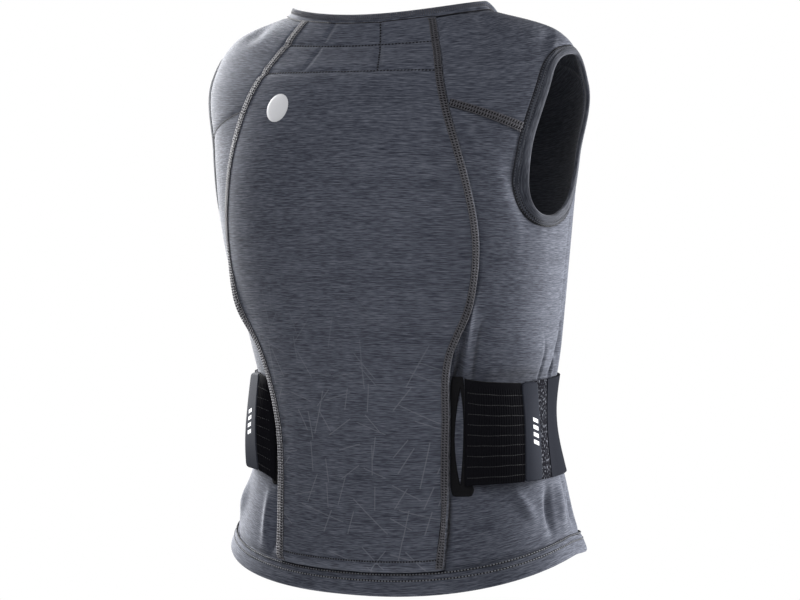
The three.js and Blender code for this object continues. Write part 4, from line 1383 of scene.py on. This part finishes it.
# Grip tabs
# A smooth moulded tab on the end of each elastic, with rounded corners and edges. The left one springs
# a little off the belt at its front edge. A plain column of slanted white bars marks each.
TAB = {"left": (0.0255, 0.044), "right": (0.0578, 0.0745)}
TAB_SHAPE = {"wall": 0.0024, "corner": 0.003, "edge": 0.0008}
TAB_SPRING = {"left": 0.002, "right": 0.0}
TAB_CELLS = (120, 40)
tab_share = np.linspace(0, 1, TAB_CELLS[1] + 1)
tab_heights = np.linspace(BELT_BOTTOM, BELT_TOP, TAB_CELLS[0] + 1)
tab_end_distance = np.minimum(tab_heights - BELT_BOTTOM, BELT_TOP - tab_heights)
corner_reach = np.clip(TAB_SHAPE["corner"] - tab_end_distance, 0, TAB_SHAPE["corner"])
tab_inset = (TAB_SHAPE["corner"] - np.sqrt(TAB_SHAPE["corner"] ** 2 - corner_reach**2))[:, None]
TAB_DARK = (0.013, 0.0145, 0.021, 1)
TAB_PALE = (0.019, 0.0215, 0.029, 1)
TAB_WHITE = (0.70, 0.71, 0.73, 1)
TAB_MARK = {"middle": 0.0108, "half_width": 0.0028, "foot": -0.3665}
TAB_BARS = {"count": 4, "pitch": 0.0066, "half_bar": 0.27, "slant": 0.5}
TAB_GRIP, tab_shader, tab_start = new_finish("moulded_grip", matt(0.8, 0.03))
tab_grain = tab_start.place().noise((1200, 1200, 1200))
mark_length, mark_height = tab_start.weave().axes("XY")
mark_across = mark_length - TAB_MARK["middle"]
mark_rise = mark_height - TAB_MARK["foot"] + mark_across * TAB_BARS["slant"]
mark_up = mark_rise * (1 / TAB_BARS["pitch"])
is_bar = tab_start.sum("ABSOLUTE", tab_start.sum("FRACT", mark_up) - 0.5) < TAB_BARS["half_bar"]
is_across = tab_start.sum("ABSOLUTE", mark_across) < TAB_MARK["half_width"]
mark = is_bar * is_across * (mark_up > 0) * (mark_up < TAB_BARS["count"])
tab_colour = mark.mix(tab_grain.mix(TAB_DARK, TAB_PALE), TAB_WHITE)
link_to(tab_shader, Base_Color=tab_colour, Normal=tab_grain.bump(0.2, 0.0002))

for name, side in SIDES.items():
    start, end = TAB[name]
    lengths = start + tab_inset + (end - start - 2 * tab_inset) * tab_share
    places = on_side(belt_places(lengths, tab_heights, side), side)
    u, level = places[..., 0], places[..., 1]
    spring = TAB_SPRING[name] * ((lengths - start) / (end - start)) ** 2
    stand_off = belt_stand_off(tab_heights, name)[:, None] * (1 - belt_fall(lengths, name))
    base = BELT_CLEAR + TAB_LIFT + stand_off + spring
    from_edge = np.minimum(edge_distance(body_point(u, level)), TAB_SHAPE["edge"])
    rounded = np.sqrt(1 - (1 - from_edge / TAB_SHAPE["edge"]) ** 2) * TAB_SHAPE["edge"]
    tab = wall_object(
        f"grip_tab_{name}",
        belt_skin(u, level, base + TAB_SHAPE["wall"] - TAB_SHAPE["edge"] + rounded),
        belt_skin(u, level, base),
        flat_grid(lengths - start, tab_heights),
    )
    tab.data.materials.append(TAB_GRIP)
    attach(tab, "root")
    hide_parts(f"belt_tab_{name}")

# Front belt
# The smooth laminated band that goes round the front from one loop strip to the other.
FRONT_BELT = {"left": 0.0563, "right": 0.094}
FRONT_BELT_WALL = 0.0018
FRONT_BELT_CELLS = (42, 160)
front_heights = np.linspace(BELT_BOTTOM, BELT_TOP, FRONT_BELT_CELLS[0] + 1)
front_start = belt_places([FRONT_BELT["left"]], front_heights, 1)[:, :1, 0]
front_end = 360 - belt_places([FRONT_BELT["right"]], front_heights, -1)[:, :1, 0]
u = front_start + (front_end - front_start) * np.linspace(0, 1, FRONT_BELT_CELLS[1] + 1)
level = level_at_height(u, front_heights[:, None])
steps = np.linalg.norm(np.diff(body_point(u, level), axis=1), axis=-1)
travelled = np.concatenate([np.zeros((len(u), 1)), np.cumsum(steps, axis=1)], axis=1)
rise = np.full(u.shape, BELT_CLEAR)
for name, lengths in (("left", travelled), ("right", travelled[:, -1:] - travelled)):
    held = 1 - belt_fall(FRONT_BELT[name] + lengths, name)
    rise = rise + belt_stand_off(front_heights, name)[:, None] * held
front_belt = wall_object(
    "front_belt_band",
    belt_skin(u, level, rise + FRONT_BELT_WALL),
    belt_skin(u, level, rise),
    weave_on_body(u, level),
)
BELT_CLOTH = grained_finish(
    "belt_laminate",
    matt(0.9, 0.02),
    grain=(900, 900, 1),
    dark=(0.006, 0.007, 0.010, 1),
    pale=(0.011, 0.012, 0.017, 1),
)
front_belt.data.materials.append(BELT_CLOTH)
width, length, area = cut_size(np.stack([u, level], axis=-1))
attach(front_belt, "root")
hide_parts("belt_front")

# The single stitches have been laid and are put away
for stitch in (LADDER, SEAM_SHADOW_CORD, NEEDLE, NECK_RIB, COVER, QUILT, RUBBER_FLOAT):
    bpy.data.objects.remove(stitch)

# Studio
# A pale round floor well below the hanging vest, a white surround, and soft lights on both sides of it.
FLOOR = {"z": -1.4, "radius": 1.2, "sides": 96}
floor_turns = 2 * np.pi * np.arange(FLOOR["sides"]) / FLOOR["sides"]
floor_x = FLOOR["radius"] * np.cos(floor_turns)
floor_y = FLOOR["radius"] * np.sin(floor_turns)
floor_rim = np.stack([floor_x, floor_y, np.full(FLOOR["sides"], FLOOR["z"])], axis=-1)
floor_mesh = bpy.data.meshes.new("floor")
floor_mesh.from_pydata(floor_rim.tolist(), [], [tuple(range(FLOOR["sides"]))])
floor = bpy.data.objects.new("floor", floor_mesh)
bpy.context.scene.collection.objects.link(floor)
PALE_FLOOR, *_ = new_finish("pale_floor", {"Base Color": (0.8, 0.8, 0.8, 1), "Roughness": 0.9})
floor_mesh.materials.append(PALE_FLOOR)

# The surround looks white and gives a soft even light
SURROUND_LIGHT = 0.04
world = bpy.data.worlds.new("white_surround")
world.use_nodes = True
surround = Finish(world.node_tree)
seen = surround.node("ShaderNodeLightPath", {}, output="Is Camera Ray")
strength = seen * (1 - SURROUND_LIGHT) + SURROUND_LIGHT
background = world.node_tree.nodes["Background"]
background.inputs["Color"].default_value = (1, 1, 1, 1)
world.node_tree.links.new(strength.socket, background.inputs["Strength"])
bpy.context.scene.world = world
bpy.context.scene.view_settings.view_transform = "Standard"

VIEW_TARGET = np.array([0, 0, -0.25])
LIGHTS = [
    # name, turn from the back towards the wearer's left, height, distance, width, watts
    ("left_rim_light", 112, 0.6, 1.9, 1.2, 270),
    ("right_rim_light", -135, 0.15, 1.9, 1.2, 150),
    ("camera_fill", -20, 1.1, 2.3, 1.4, 36),
    ("shoulder_fill", -15, 0.85, 0.9, 0.6, 4),
]


def aim(thing, place, target):
    thing.location = place.tolist()
    thing.rotation_mode = "QUATERNION"
    thing.rotation_quaternion = Vector((target - place).tolist()).to_track_quat("-Z", "Y")


for name, turn, height, distance, size, watts in LIGHTS:
    lamp = bpy.data.lights.new(name, "AREA")
    lamp.shape = "SQUARE"
    lamp.size = size
    lamp.energy = watts
    light = bpy.data.objects.new(name, lamp)
    bpy.context.scene.collection.objects.link(light)
    angle = math.radians(turn)
    place = VIEW_TARGET + np.array([math.sin(angle) * distance, math.cos(angle) * distance, height])
    aim(light, place, VIEW_TARGET)

# Camera
# It stands behind the wearer's right shoulder, a little above the middle of the vest.
IMAGE_WIDTH = 800
CAMERA_TURN = math.radians(-27)
CAMERA_RISE = math.radians(3)
CAMERA_DISTANCE = 2.0
FOCAL_PIXELS = 2320
CENTRE_SHIFT_PIXELS = 5
camera_data = bpy.data.cameras.new("camera")
camera_data.sensor_width = 36
camera_data.lens = camera_data.sensor_width * FOCAL_PIXELS / IMAGE_WIDTH
camera_data.shift_x = -CENTRE_SHIFT_PIXELS / IMAGE_WIDTH
camera = bpy.data.objects.new("camera", camera_data)
bpy.context.scene.collection.objects.link(camera)
camera_way = np.array([
    math.sin(CAMERA_TURN) * math.cos(CAMERA_RISE),
    math.cos(CAMERA_TURN) * math.cos(CAMERA_RISE),
    math.sin(CAMERA_RISE),
])
aim(camera, VIEW_TARGET + CAMERA_DISTANCE * camera_way, VIEW_TARGET)
bpy.context.scene.camera = camera
